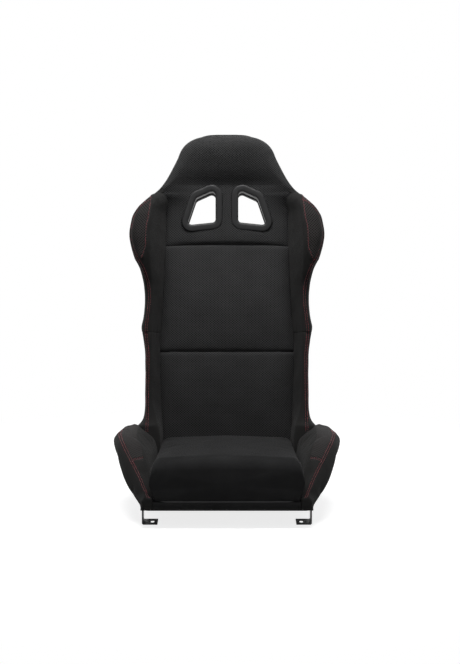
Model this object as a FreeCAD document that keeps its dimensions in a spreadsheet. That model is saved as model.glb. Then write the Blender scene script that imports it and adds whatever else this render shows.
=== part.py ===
import FreeCAD, Part
import math
import os

import Sketcher
import PartDesign
from FreeCAD import Placement, Rotation, Vector

# Fixed-back racing seat on a frame of bent square tube. Millimetres, +Z up, the sitter faces -Y.
# "Depth" is counted rearwards from the front lip. "Level" is counted up the leaning face
# of the backrest and "proud" forwards from that face.

SIZES = [
    # Where the seat stands
    ("setback", 325.3, "depth of the origin behind the front lip"),
    ("back_rake", 12, "lean of the backrest, degrees"),
    ("back_depth", 410, "depth of the backrest face at its base"),
    ("back_height", 128, "height of the backrest face at its base"),
    # Tube frame
    ("tube_width", 22, "square frame tube outside"),
    ("tube_wall", 2, "frame tube wall"),
    ("rail_half_width", 193, "base rail centre from the middle"),
    ("rail_height", 58, "base rail centre above the feet"),
    ("rail_front", 13, "depth of the front cross run"),
    ("rail_overhang", 56, "rail ends behind the backrest face at its base"),
    ("rail_rear", "=back_depth + rail_overhang", "depth of the rail ends"),
    ("rail_bend", 46, "centreline radius of the front corners"),
    ("hoop_behind", 55, "hoop centre behind the backrest face"),
    ("hoop_bend", 70, "centreline radius of the hoop bends"),
    ("hoop_waist_level", 415, "level where the hoop starts to widen"),
    ("hoop_shoulder_half_width", 212, "hoop centre at the shoulders"),
    ("hoop_shoulder_low", 520, "level where the widest run starts"),
    ("hoop_shoulder_high", 606, "level where the widest run ends"),
    ("hoop_neck_half_width", 124, "hoop centre at the neck"),
    ("hoop_neck_level", 728, "level of the neck bend"),
    ("hoop_crown_half_width", 88, "hoop corner at the head"),
    ("hoop_crown_level", 812, "level of the top run"),
    ("lumbar_tube_level", 150, "level of the lower cross tube"),
    ("shoulder_tube_level", 556, "level of the upper cross tube"),
    ("stay_width", 16, "flat bar that stiffens a bolster"),
    ("stay_thickness", 4, "flat bar that stiffens a bolster"),
    ("stay_bend", 26, "bend radius of the stays"),
    ("wing_stay_low", 474, "level of the lower end of a wing stay"),
    ("wing_stay_high", 628, "level of the upper end of a wing stay"),
    ("wing_stay_half_width", 230, "wing stay from the middle"),
    ("wing_stay_proud", 60, "wing stay ahead of the backrest face"),
    ("thigh_stay_half_width", 214, "thigh stay from the middle"),
    ("thigh_stay_height", 150, "thigh stay above the feet"),
    ("thigh_stay_front", 120, "depth of the front leg of a thigh stay"),
    ("thigh_stay_clear", 80, "rear leg of a thigh stay ahead of the backrest face"),
    ("thigh_stay_rear", "=back_depth - thigh_stay_clear", "depth of the rear leg of a thigh stay"),
    # Webbing
    ("webbing_thickness", 1.5, "elastic webbing"),
    ("webbing_width", 50, "elastic webbing"),
    ("tube_ease", 0.5, "room left round a wrapped tube by the pads"),
    # Side brackets and their screws
    ("bracket_inner", 208, "inner face of a bracket from the middle"),
    ("bracket_steel", 3, "bracket sheet"),
    ("bracket_front", 42, "depth of the bracket's front edge"),
    ("bracket_length", 390, "bracket from front to rear"),
    ("bracket_top", 80, "height of the bracket"),
    ("bracket_arch", 26, "height of the arch between the feet"),
    ("bracket_corner", 8, "corner radius of the bracket"),
    ("bracket_bend", 4.5, "outer bend radius at the feet"),
    ("bracket_ease", 4, "room left round a bracket by the pads"),
    ("foot_reach", 38.5, "foot from the bracket's outer face inwards"),
    ("foot_length", 50, "foot from front to rear"),
    ("slot_width", 9, "width of a foot slot"),
    ("slot_length", 28, "overall length of a foot slot"),
    ("slot_inset", 25.5, "slot centre inwards of the bracket's outer face"),
    ("side_hole_diameter", 8.6, "side holes of a bracket"),
    ("screw_diameter", 8, "side screws"),
    ("screw_front", 72, "depth of the front side screws"),
    ("screw_rear", 398, "depth of the rear side screws"),
    ("screw_reach", 26, "side screw under its head"),
    ("screw_head", 18, "flanged side screw head across"),
    ("screw_head_top", 10, "top of the side screw head across"),
    ("screw_head_height", 4.4, "side screw head"),
    ("hex_key", 5, "socket across flats"),
    ("boss_diameter", 14, "threaded boss in the rail"),
    ("boss_ease", 1, "room left round a boss by the pads"),
    ("plug_flange", 2.5, "end plug behind the rail end"),
    ("plug_insert", 14, "end plug inside the rail"),
    ("adjust_hole_step", 18, "drop of the spare height hole"),
    # Harness openings
    ("hole_inner", 31, "inner edge of a harness opening from the middle"),
    ("hole_bottom_inner", 601, "level of the lower inner corner"),
    ("hole_bottom_outer", 593, "level of the lower outer corner"),
    ("hole_outer", 108.5, "lower outer corner from the middle"),
    ("hole_top_outer", 667, "level of the upper outer corner"),
    ("hole_shoulder", 83.5, "upper outer corner from the middle"),
    ("hole_top_inner", 691, "level of the upper inner corner"),
    ("hole_corner", 9, "corner radius of a harness opening"),
    ("bezel_flange", 16, "width of the bezel flange"),
    ("bezel_height", 5.5, "bezel ahead of the cover"),
    ("bezel_wall", 2.6, "bezel sleeve wall"),
    ("bezel_edge", 2.4, "bevel of the bezel"),
    # Backrest pads
    ("clearance", 0.4, "gap between neighbouring pads"),
    ("seam_clearance", 1, "gap along the curved seams beside the middle panels"),
    ("back_lower_level", -58, "level of the lower end of the backrest pads"),
    ("mid_seam_level", 248.5, "level of the seam across the lower back"),
    ("yoke_seam_level", 540, "level of the seam across the shoulders"),
    ("neck_level", 705, "level of the step under the head pad"),
    ("neck_half_width", 166, "outline at the step under the head pad"),
    ("panel_thickness", 18, "padded cover panel"),
    ("panel_crown", 5, "rise of a cover panel"),
    ("panel_edge", 5, "edge radius of a cover panel"),
    ("seam_draw", 5, "how far a seam is drawn in"),
    ("panel_foot_half_width", 171, "cover panel at the cushion"),
    ("panel_waist_half_width", 180, "cover panel at the middle seam"),
    ("panel_shoulder_half_width", 167, "cover panel at the shoulders"),
    ("panel_neck_half_width", 146, "cover panel at the neck"),
    ("bolster_seam_level", 299, "level of the seam across the bolsters"),
    ("bolster_half_width", 221, "waist bolster from the middle"),
    ("bolster_proud", 50, "crest of the waist bolster"),
    ("bolster_inset", 12, "crest of the waist bolster in from its side"),
    ("wing_level", 563, "level of the widest part of the shoulders"),
    ("wing_half_width", 260, "shoulders from the middle"),
    ("wing_proud", 106, "crest of the shoulder wings"),
    ("wing_inset", 52, "ridge of the shoulder wings in from their side"),
    ("head_half_width", 133, "head pad at its middle"),
    ("head_top_half_width", 60, "flat top of the head pad from the middle"),
    ("head_top_level", 839, "level of the top of the head pad"),
    ("head_proud", 26, "head pad ahead of the backrest face"),
    ("head_crown", 6, "rise of the head pad in the middle"),
    ("head_edge", 20, "edge radius of the head pad"),
    ("back_behind", 68.5, "rear of the pads behind the backrest face"),
    ("rear_cover_thickness", 2.5, "rear cover"),
    ("rear_cover_inset", 14, "rear cover in from the outline"),
    ("rear_cover_low", -40, "level of the lower edge of the rear cover"),
    # Base pads
    ("lip_front", 0, "front of the lip"),
    ("lip_depth", 26.6, "front lip from front to rear"),
    ("lip_bottom", 45.6, "underside of the lip"),
    ("lip_top", 70.2, "top of the lip"),
    ("lip_front_edge", 10, "radius of the upper front edge of the lip"),
    ("lip_lower_edge", 8, "radius of the lower front edge of the lip"),
    ("base_side", 207.6, "side of the base from the middle"),
    ("base_inner_half_width", 182, "base pad from the middle"),
    ("base_pad_top", 67.5, "top of the base pad"),
    ("base_pad_bottom", 47.4, "underside of the base pad"),
    ("base_pad_overlap", 28, "base pad behind the backrest face at its base"),
    ("base_pad_rear", "=back_depth + base_pad_overlap", "depth of the rear of the base pad"),
    ("dust_cover_bottom", 43.6, "underside of the dust cover"),
    ("dust_cover_thickness", 1.6, "dust cover"),
    ("dust_cover_inset", 3, "dust cover in from the side of the base"),
    ("dust_cover_setback", 9, "dust cover behind the front of the lip"),
    ("dust_cover_corner", 12, "corner radius of the dust cover"),
    ("thigh_half_width", 294, "thigh bolsters from the middle"),
    ("thigh_height", 191, "top of the thigh bolsters"),
    ("thigh_ridge_inset", 22, "ridge of a thigh bolster in from its side"),
    ("thigh_crest_half_width", 218, "inner edge of a thigh crest from the middle"),
    ("thigh_inner_height", 150, "fold beside the cushion above the feet"),
    # Loose cushion
    ("cushion_bottom", 70.6, "underside of the cushion"),
    ("cushion_front_top", 171, "top edge of the cushion at the front"),
    ("cushion_rear_top", 147, "top edge of the cushion at the rear"),
    ("cushion_half_width", 192.5, "cushion at the front"),
    ("cushion_rear_half_width", 169, "cushion at the rear"),
    ("cushion_foot_half_width", 172, "underside of the cushion from the middle"),
    ("cushion_crown", 6, "rise of the cushion in the middle"),
    ("cushion_front", 1, "depth of the front of the cushion"),
    ("cushion_roll", 40, "radius of the cushion's front edge"),
    ("cushion_side_edge", 13, "radius of the cushion's side edges"),
    ("cushion_side_bulge", 20, "rounding of the cushion's sides"),
    ("cushion_foot_edge", 8, "radius of the cushion's lower edges"),
    ("cushion_rear_gap", 6.5, "cushion ahead of the backrest face"),
    ("strip_thickness", 1.4, "hook or loop strip"),
    ("strip_width", 50, "hook or loop strip"),
    ("strip_length", 300, "hook or loop strip"),
    ("strip_spacing", 200, "between the middles of the strips"),
]

doc = FreeCAD.newDocument("racing_seat")
sheet = doc.addObject("Spreadsheet::Sheet", "sizes")
for row, (alias, value, note) in enumerate(SIZES, start=1):
    sheet.set(f"A{row}", note)
    sheet.set(f"B{row}", str(value))
    sheet.setAlias(f"B{row}", alias)
doc.recompute()

NODES = []
X_AXIS = Vector(1, 0, 0)
Y_AXIS = Vector(0, 1, 0)
Z_AXIS = Vector(0, 0, 1)


def size(alias):
    return float(sheet.get(alias))


def node(item, label):
    """Give a finished sub-part its own label and put it on the list to be written."""
    item.Label = label
    NODES.append(item)
    return item


# The frame of the backrest

BACK_BASE_Y = "sizes.back_depth - sizes.setback"
BACK_TILT = "90 - sizes.back_rake"
back_place = Placement(
    Vector(0, size("back_depth") - size("setback"), size("back_height")),
    Rotation(X_AXIS, 90 - size("back_rake")),
)


def at_depth(depth):
    return depth - size("setback")


def on_back(across, level, proud):
    """A point given by its place on the leaning backrest."""
    return back_place.multVec(Vector(across, level, proud))


def on_base(across, depth, height):
    return Vector(across, at_depth(depth), height)


def lean_with_back(item, level="0", proud="0"):
    """Tie an object to the leaning frame of the backrest, optionally moved up and forwards."""
    item.Placement = back_place
    item.setExpression(
        ".Placement.Base.y",
        f"{BACK_BASE_Y} + ({level}) * sin(sizes.back_rake * 1deg) - ({proud}) * cos(sizes.back_rake * 1deg)",
    )
    item.setExpression(
        ".Placement.Base.z",
        f"sizes.back_height + ({level}) * cos(sizes.back_rake * 1deg)"
        f" + ({proud}) * sin(sizes.back_rake * 1deg)",
    )
    item.setExpression(".Placement.Rotation.Angle", BACK_TILT)


# Sketch helpers

class Corner:
    """A corner of a drawn path with its rounding, as expressions on the sheet."""

    def __init__(self, across, along, radius=None):
        self.across = across
        self.along = along
        self.radius = radius


def corner_arc(before, corner, after, radius):
    """Where a tangent arc starts and ends at a corner, its centre, and whether it turns left."""
    to_before = (before - corner).normalize()
    to_after = (after - corner).normalize()
    half_angle = to_before.getAngle(to_after) / 2
    start = corner + to_before * (radius / math.tan(half_angle))
    end = corner + to_after * (radius / math.tan(half_angle))
    centre = corner + (to_before + to_after).normalize() * (radius / math.sin(half_angle))
    turns_left = (corner - before).cross(after - corner).z > 0
    return start, end, centre, turns_left


def anticlockwise_arc(start, end, centre, turns_left):
    first, last = (start, end) if turns_left else (end, start)
    first_angle = math.atan2(first.y - centre.y, first.x - centre.x)
    last_angle = math.atan2(last.y - centre.y, last.x - centre.x)
    if last_angle < first_angle:
        last_angle += 2 * math.pi
    circle = Part.Circle(centre, Z_AXIS, (start - centre).Length)
    return Part.ArcOfCircle(circle, first_angle, last_angle)


def bind(sketch, kind, *place_and_value, expression):
    index = sketch.addConstraint(Sketcher.Constraint(kind, *place_and_value))
    sketch.setExpression(f"Constraints[{index}]", expression)


ORIGIN = (-1, 1)
X_LINE, Y_LINE = -1, -2


def place_point(sketch, geometry, end, corner, where):
    """Dimension one point of the sketch from the origin, or keep it on an axis."""
    if corner.across == "0":
        sketch.addConstraint(Sketcher.Constraint("PointOnObject", geometry, end, Y_LINE))
    else:
        bind(sketch, "DistanceX", *ORIGIN, geometry, end, where.x, expression=corner.across)
    if corner.along == "0":
        sketch.addConstraint(Sketcher.Constraint("PointOnObject", geometry, end, X_LINE))
    else:
        bind(sketch, "DistanceY", *ORIGIN, geometry, end, where.y, expression=corner.along)


def draw_path(sketch, corners, closed):
    """Draw straight runs with tangent arcs at the rounded corners, fully constrained."""
    count = len(corners)
    points = [
        Vector(float(sketch.evalExpression(c.across)), float(sketch.evalExpression(c.along)), 0)
        for c in corners
    ]
    arcs = {}
    for index, corner in enumerate(corners):
        if corner.radius is not None:
            radius = float(sketch.evalExpression(corner.radius))
            after = points[(index + 1) % count]
            arcs[index] = corner_arc(points[index - 1], points[index], after, radius)
    runs = []
    for index in range(count if closed else count - 1):
        following = (index + 1) % count
        start = arcs[index][1] if index in arcs else points[index]
        end = arcs[following][0] if following in arcs else points[following]
        runs.append(sketch.addGeometry(Part.LineSegment(start, end)))
    for index, corner in enumerate(corners):
        is_open_end = not closed and index in (0, count - 1)
        if is_open_end:
            run, end = (runs[0], 1) if index == 0 else (runs[-1], 2)
            place_point(sketch, run, end, corner, points[index])
            continue
        before, after = runs[index - 1], runs[index % len(runs)]
        if index not in arcs:
            sketch.addConstraint(Sketcher.Constraint("Coincident", before, 2, after, 1))
            place_point(sketch, after, 1, corner, points[index])
            continue
        turns_left = arcs[index][3]
        entry, leave = (1, 2) if turns_left else (2, 1)
        arc = sketch.addGeometry(anticlockwise_arc(*arcs[index]))
        sketch.addConstraint(Sketcher.Constraint("Tangent", before, 2, arc, entry))
        sketch.addConstraint(Sketcher.Constraint("Tangent", arc, leave, after, 1))
        radius = (arcs[index][0] - arcs[index][2]).Length
        bind(sketch, "Radius", arc, radius, expression=corner.radius)
        tip = sketch.addGeometry(Part.Point(points[index]), True)
        sketch.addConstraint(Sketcher.Constraint("PointOnObject", tip, 1, before))
        sketch.addConstraint(Sketcher.Constraint("PointOnObject", tip, 1, after))
        place_point(sketch, tip, 1, corner, points[index])


def draw_circle(sketch, across, along, diameter):
    centre = Corner(across, along)
    where = Vector(float(sketch.evalExpression(across)), float(sketch.evalExpression(along)), 0)
    radius = float(sketch.evalExpression(diameter)) / 2
    circle = sketch.addGeometry(Part.Circle(where, Z_AXIS, radius))
    place_point(sketch, circle, 3, centre, where)
    bind(sketch, "Diameter", circle, 2 * radius, expression=diameter)


def new_body(name):
    return doc.addObject("PartDesign::Body", name)


def new_sketch(body, name, plane_role, offset=None):
    """A sketch on one of the body's own origin planes, moved along its normal if asked."""
    sketch = body.newObject("Sketcher::SketchObject", name)
    plane = next(item for item in body.Origin.OriginFeatures if item.Role == plane_role)
    sketch.AttachmentSupport = (plane, [""])
    sketch.MapMode = "FlatFace"
    if offset is not None:
        sketch.setExpression(".AttachmentOffset.Base.z", offset)
    doc.recompute()
    return sketch


def pad(body, name, sketch, length, midplane=False, reversed_way=False):
    feature = body.newObject("PartDesign::Pad", name)
    feature.Profile = sketch
    feature.setExpression("Length", length)
    feature.Midplane = midplane
    feature.Reversed = reversed_way
    doc.recompute()
    return feature


def pocket_through(body, name, sketch):
    """Cut a sketch right through, both ways, and make sure that it took something away."""
    before = body.Shape.Volume
    feature = body.newObject("PartDesign::Pocket", name)
    feature.Profile = sketch
    feature.Type = "ThroughAll"
    feature.Midplane = True
    doc.recompute()
    if feature.Shape.Volume >= before:
        raise RuntimeError(f"{name} cuts nothing")
    return feature


def mirrored(source, label):
    """The opposite-hand piece across the middle of the seat."""
    copy = doc.addObject("Part::Mirroring", label)
    copy.Source = source
    copy.Normal = X_AXIS
    copy.Base = Vector(0, 0, 0)
    doc.recompute()
    return node(copy, label)


def shaped(label, shape):
    """A sub-part whose form comes from lofts and sweeps worked out here."""
    feature = doc.addObject("Part::Feature", label)
    feature.Shape = shape
    feature.Placement = Placement()
    return node(feature, label)


# Tube frame

def path_world(body, sketch):
    return Part.Wire([e.copy() for e in sketch.Shape.Edges]).transformed(body.Placement.Matrix)


def bar_sweep(path, turned_about, half_across, half_thick):
    """A rectangular bar along a path of straight runs and tangent arcs that lies in the plane
    whose normal is turned_about; half_across is measured along that normal."""
    first = path.OrderedEdges[0]
    start = path.OrderedVertexes[0].Point
    along = first.tangentAt(first.FirstParameter)
    thick = turned_about.cross(along).normalize() * half_thick
    across = turned_about * half_across
    corners = [start + across + thick, start - across + thick, start - across - thick,
               start + across - thick, start + across + thick]
    return path.makePipe(Part.Face(Part.makePolygon(corners)))


def tube_body(name, corners, profile_offset):
    """A hollow square tube swept along a drawn path; returns the body and its path."""
    body = new_body(name)
    path = new_sketch(body, f"{name}_path", "XY_Plane")
    draw_path(path, corners, closed=False)
    profile = new_sketch(body, f"{name}_profile", "XZ_Plane", profile_offset)
    for half in ("sizes.tube_width / 2", "(sizes.tube_width / 2 - sizes.tube_wall)"):
        draw_path(profile, [
            Corner(f"sizes.rail_half_width {across} {half}", f"{along}{half}")
            for across, along in (("-", "-"), ("+", "-"), ("+", ""), ("-", ""))
        ], closed=True)
    doc.recompute()
    sweep = body.newObject("PartDesign::AdditivePipe", f"{name}_sweep")
    sweep.Profile = profile
    sweep.Spine = (path, [])
    doc.recompute()
    return body, path


# The base tube is one U: two rails and the front cross run.
base_body, base_path = tube_body(
    "base_tube",
    [
        Corner("sizes.rail_half_width", "sizes.rail_rear"),
        Corner("sizes.rail_half_width", "sizes.rail_front", "sizes.rail_bend"),
        Corner("-sizes.rail_half_width", "sizes.rail_front", "sizes.rail_bend"),
        Corner("-sizes.rail_half_width", "sizes.rail_rear"),
    ],
    "-sizes.rail_rear",
)
base_body.setExpression(".Placement.Base.y", "-sizes.setback")
base_body.setExpression(".Placement.Base.z", "sizes.rail_height")
doc.recompute()
base_tube_path = path_world(base_body, base_path)

# The hoop legs start on the centre of the rails.
HOOP_FOOT = (
    "(sizes.rail_height - sizes.back_height + sizes.hoop_behind * sin(sizes.back_rake * 1deg))"
    " / cos(sizes.back_rake * 1deg)"
)
hoop_half = [
    Corner("sizes.rail_half_width", HOOP_FOOT),
    Corner("sizes.rail_half_width", "sizes.hoop_waist_level", "3 * sizes.hoop_bend"),
    Corner("sizes.hoop_shoulder_half_width", "sizes.hoop_shoulder_low", "3 * sizes.hoop_bend"),
    Corner("sizes.hoop_shoulder_half_width", "sizes.hoop_shoulder_high", "sizes.hoop_bend"),
    Corner("sizes.hoop_neck_half_width", "sizes.hoop_neck_level", "sizes.hoop_bend"),
    Corner("sizes.hoop_crown_half_width", "sizes.hoop_crown_level", "0.6 * sizes.hoop_bend"),
]
hoop_other_half = [Corner(f"-{c.across}", c.along, c.radius) for c in reversed(hoop_half)]
hoop_body, hoop_path = tube_body(
    "hoop_tube", hoop_half + hoop_other_half, f"-({HOOP_FOOT})")
lean_with_back(hoop_body, proud="-sizes.hoop_behind")
doc.recompute()
hoop_tube_path = path_world(hoop_body, hoop_path)

TUBE_HALF = size("tube_width") / 2
RAIL_X = size("rail_half_width")
RAIL_Z = size("rail_height")
SIDES = (1, -1)
SCREW_DEPTHS = (size("screw_front"), size("screw_rear"))


def hidden(name, shape):
    """A helper solid that other objects are cut with; it isn't a sub-part."""
    feature = doc.addObject("Part::Feature", name)
    feature.Shape = shape
    return feature


def cut(name, base, tool):
    feature = doc.addObject("Part::Cut", name)
    feature.Base = base
    feature.Tool = tool
    doc.recompute()
    return feature


def block(low, high):
    """A box between two opposite corners."""
    span = high - low
    return Part.makeBox(span.x, span.y, span.z, low)


def sideways_cylinder(radius, inner, outer, depth, height, side=1):
    """A round bar across the seat between two distances from its middle."""
    start = on_base(side * inner, depth, height)
    return Part.makeCylinder(radius, outer - inner, start, X_AXIS * side)


def along_base_tube(half):
    return bar_sweep(base_tube_path, Z_AXIS, half, half)


def along_hoop(half):
    return bar_sweep(hoop_tube_path, back_place.Rotation.multVec(Z_AXIS), half, half)


base_envelope = hidden("base_envelope", along_base_tube(TUBE_HALF))
hoop_envelope = hidden("hoop_envelope", along_hoop(TUBE_HALF))
boss_inner = RAIL_X - TUBE_HALF + size("tube_wall")
boss_holes = hidden("boss_holes", Part.makeCompound([
    sideways_cylinder(size("boss_diameter") / 2, boss_inner, size("bracket_inner"), depth, RAIL_Z, side)
    for depth in SCREW_DEPTHS for side in SIDES
]))
node(cut("base_frame", base_body, boss_holes), "base_frame")
node(cut("back_hoop", hoop_body, base_envelope), "back_hoop")


def cross_tube(label, half_width, place, envelope):
    """A straight square tube between two others, cut to fit against their sides."""
    outer = doc.addObject("Part::Box", f"{label}_outer")
    inner = doc.addObject("Part::Box", f"{label}_bore")
    for item, half in ((outer, "sizes.tube_width / 2"), (inner, "sizes.tube_width / 2 - sizes.tube_wall")):
        item.setExpression("Length", f"2 * {half_width}")
        item.setExpression("Width", f"2 * ({half})")
        item.setExpression("Height", f"2 * ({half})")
        corner = float(sheet.evalExpression(half))
        start = Vector(-float(sheet.evalExpression(half_width)), -corner, -corner)
        item.Placement = place.multiply(Placement(start, Rotation()))
    hollow = cut(f"{label}_hollow", outer, inner)
    return node(cut(label, hollow, envelope), label)


def back_tube_place(level):
    return back_place.multiply(Placement(Vector(0, level, -size("hoop_behind")), Rotation()))


hoop_foot_depth = (
    size("back_depth") + float(sheet.evalExpression(HOOP_FOOT)) * math.sin(math.radians(size("back_rake")))
    + size("hoop_behind") * math.cos(math.radians(size("back_rake")))
)
frame_envelope = hidden("frame_envelope", base_envelope.Shape.fuse(hoop_envelope.Shape))
cross_tube("rear_cross_tube", "sizes.rail_half_width",
           Placement(on_base(0, hoop_foot_depth, RAIL_Z), Rotation()), frame_envelope)
cross_tube("lumbar_cross_tube", "sizes.rail_half_width",
           back_tube_place(size("lumbar_tube_level")), hoop_envelope)
cross_tube("shoulder_cross_tube", "sizes.hoop_shoulder_half_width",
           back_tube_place(size("shoulder_tube_level")), hoop_envelope)


def bent_path(points, bend):
    """A path in space of straight runs with a tangent arc at each inner point."""
    edges = []
    start = points[0]
    for before, corner, after in zip(points, points[1:], points[2:]):
        to_before = (before - corner).normalize()
        to_after = (after - corner).normalize()
        half_angle = to_before.getAngle(to_after) / 2
        entry = corner + to_before * (bend / math.tan(half_angle))
        leave = corner + to_after * (bend / math.tan(half_angle))
        towards_centre = (to_before + to_after).normalize()
        middle = corner + towards_centre * (bend / math.sin(half_angle) - bend)
        edges.append(Part.LineSegment(start, entry).toShape())
        edges.append(Part.Arc(entry, middle, leave).toShape())
        start = leave
    edges.append(Part.LineSegment(start, points[-1]).toShape())
    return Part.Wire(edges)


def stay(points, clearance=0):
    """A flat bar bent to a bow in one plane, or the room for one."""
    turned_about = (points[1] - points[0]).cross(points[2] - points[1]).normalize()
    half_across = size("stay_width") / 2 + clearance
    half_thick = size("stay_thickness") / 2 + clearance
    return bar_sweep(bent_path(points, size("stay_bend")), turned_about, half_across, half_thick)


WING_STAY = [
    on_back(across, level, proud)
    for across, level, proud in (
        (size("hoop_shoulder_half_width"), size("wing_stay_low"), -size("hoop_behind")),
        (size("wing_stay_half_width"), size("wing_stay_low"), size("wing_stay_proud")),
        (size("wing_stay_half_width"), size("wing_stay_high"), size("wing_stay_proud")),
        (size("hoop_shoulder_half_width"), size("wing_stay_high"), -size("hoop_behind")),
    )
]
THIGH_STAY = [
    on_base(RAIL_X, size("thigh_stay_front"), RAIL_Z),
    on_base(size("thigh_stay_half_width"), size("thigh_stay_front"), size("thigh_stay_height")),
    on_base(size("thigh_stay_half_width"), size("thigh_stay_rear"), size("thigh_stay_height")),
    on_base(RAIL_X, size("thigh_stay_rear"), RAIL_Z),
]
wing_stay = shaped("wing_stay_right", stay(WING_STAY).cut(hoop_envelope.Shape))
mirrored(wing_stay, "wing_stay_left")
thigh_stay = shaped("thigh_stay_right", stay(THIGH_STAY).cut(base_envelope.Shape))
mirrored(thigh_stay, "thigh_stay_left")

# Threaded bosses welded through the rails, where the side brackets are screwed on.
bosses = []
for depth in SCREW_DEPTHS:
    for side in SIDES:
        boss = sideways_cylinder(
            size("boss_diameter") / 2, boss_inner, size("bracket_inner"), depth, RAIL_Z, side)
        thread = sideways_cylinder(
            size("screw_diameter") / 2, boss_inner, size("bracket_inner"), depth, RAIL_Z, side)
        bosses.append(boss.cut(thread))
shaped("frame_bosses", Part.makeCompound(bosses))

# Plastic plugs in the open rear ends of the rails.
plugs = []
for side in SIDES:
    for half, front, length in (
            (TUBE_HALF - size("tube_wall"), size("rail_rear") - size("plug_insert"), size("plug_insert")),
            (TUBE_HALF, size("rail_rear"), size("plug_flange"))):
        plugs.append(block(
            on_base(side * RAIL_X - half, front, RAIL_Z - half),
            on_base(side * RAIL_X + half, front + length, RAIL_Z + half)))
shaped("frame_end_plugs", Part.makeCompound([
    insert.fuse(flange).removeSplitter() for insert, flange in zip(plugs[::2], plugs[1::2])
]))


# Elastic webbing, looped round the tubes at both ends

WEB = size("webbing_thickness")


def strap(half_width, place):
    """One strap across two parallel tubes, looped round both. In its own frame X runs across,
    Y along the tubes and Z points to the pad; the tube centres lie on Z = 0."""
    half = size("webbing_width") / 2
    outer = TUBE_HALF + WEB
    shape = block(Vector(-half_width, -half, TUBE_HALF), Vector(half_width, half, outer))
    for side in SIDES:
        loop = block(Vector(side * half_width - outer, -half, -outer),
                     Vector(side * half_width + outer, half, outer))
        tube = block(Vector(side * half_width - TUBE_HALF, -half, -TUBE_HALF),
                     Vector(side * half_width + TUBE_HALF, half, TUBE_HALF))
        shape = shape.fuse(loop).cut(tube)
    return shape.removeSplitter().transformed(place.Matrix)


BACK_STRAP_LEVELS = (30, 95, 205, 290, 370)
shaped("back_webbing", Part.makeCompound(
    [strap(RAIL_X, back_tube_place(level)) for level in BACK_STRAP_LEVELS]))
SEAT_STRAP_DEPTHS = (165, 230, 295)
shaped("seat_webbing", Part.makeCompound([
    strap(RAIL_X, Placement(on_base(0, depth, RAIL_Z), Rotation(X_AXIS, 180)))
    for depth in SEAT_STRAP_DEPTHS
]))


# Side brackets: a steel plate with two feet turned inwards

BRACKET_REAR = "(sizes.bracket_front + sizes.bracket_length)"
BRACKET_OUTER = "(sizes.bracket_inner + sizes.bracket_steel)"
FOOT_FRONTS = ("sizes.bracket_front", f"({BRACKET_REAR} - sizes.foot_length)")


def draw_slot(sketch, across, along, width, length):
    """A slot with round ends, its length along the sketch's second axis."""
    middle = [float(sketch.evalExpression(text)) for text in (across, along)]
    radius = float(sketch.evalExpression(width)) / 2
    half = float(sketch.evalExpression(length)) / 2 - radius
    ends = []
    for way, first_angle in ((1, 0), (-1, math.pi)):
        centre = Vector(middle[0], middle[1] + way * half, 0)
        arc = Part.ArcOfCircle(Part.Circle(centre, Z_AXIS, radius), first_angle, first_angle + math.pi)
        ends.append(sketch.addGeometry(arc))
        place = Corner(across, f"{along} + ({way}) * ({length} - {width}) / 2")
        place_point(sketch, ends[-1], 3, place, centre)
    upper, lower = ends
    for first, last, side in ((upper, lower, -1), (lower, upper, 1)):
        edge = middle[0] + side * radius
        top, bottom = middle[1] + half, middle[1] - half
        start, end = (top, bottom) if side < 0 else (bottom, top)
        line = sketch.addGeometry(Part.LineSegment(Vector(edge, start, 0), Vector(edge, end, 0)))
        sketch.addConstraint(Sketcher.Constraint("Tangent", first, 2, line, 1))
        sketch.addConstraint(Sketcher.Constraint("Tangent", line, 2, last, 1))
    bind(sketch, "Diameter", upper, 2 * radius, expression=width)


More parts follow.
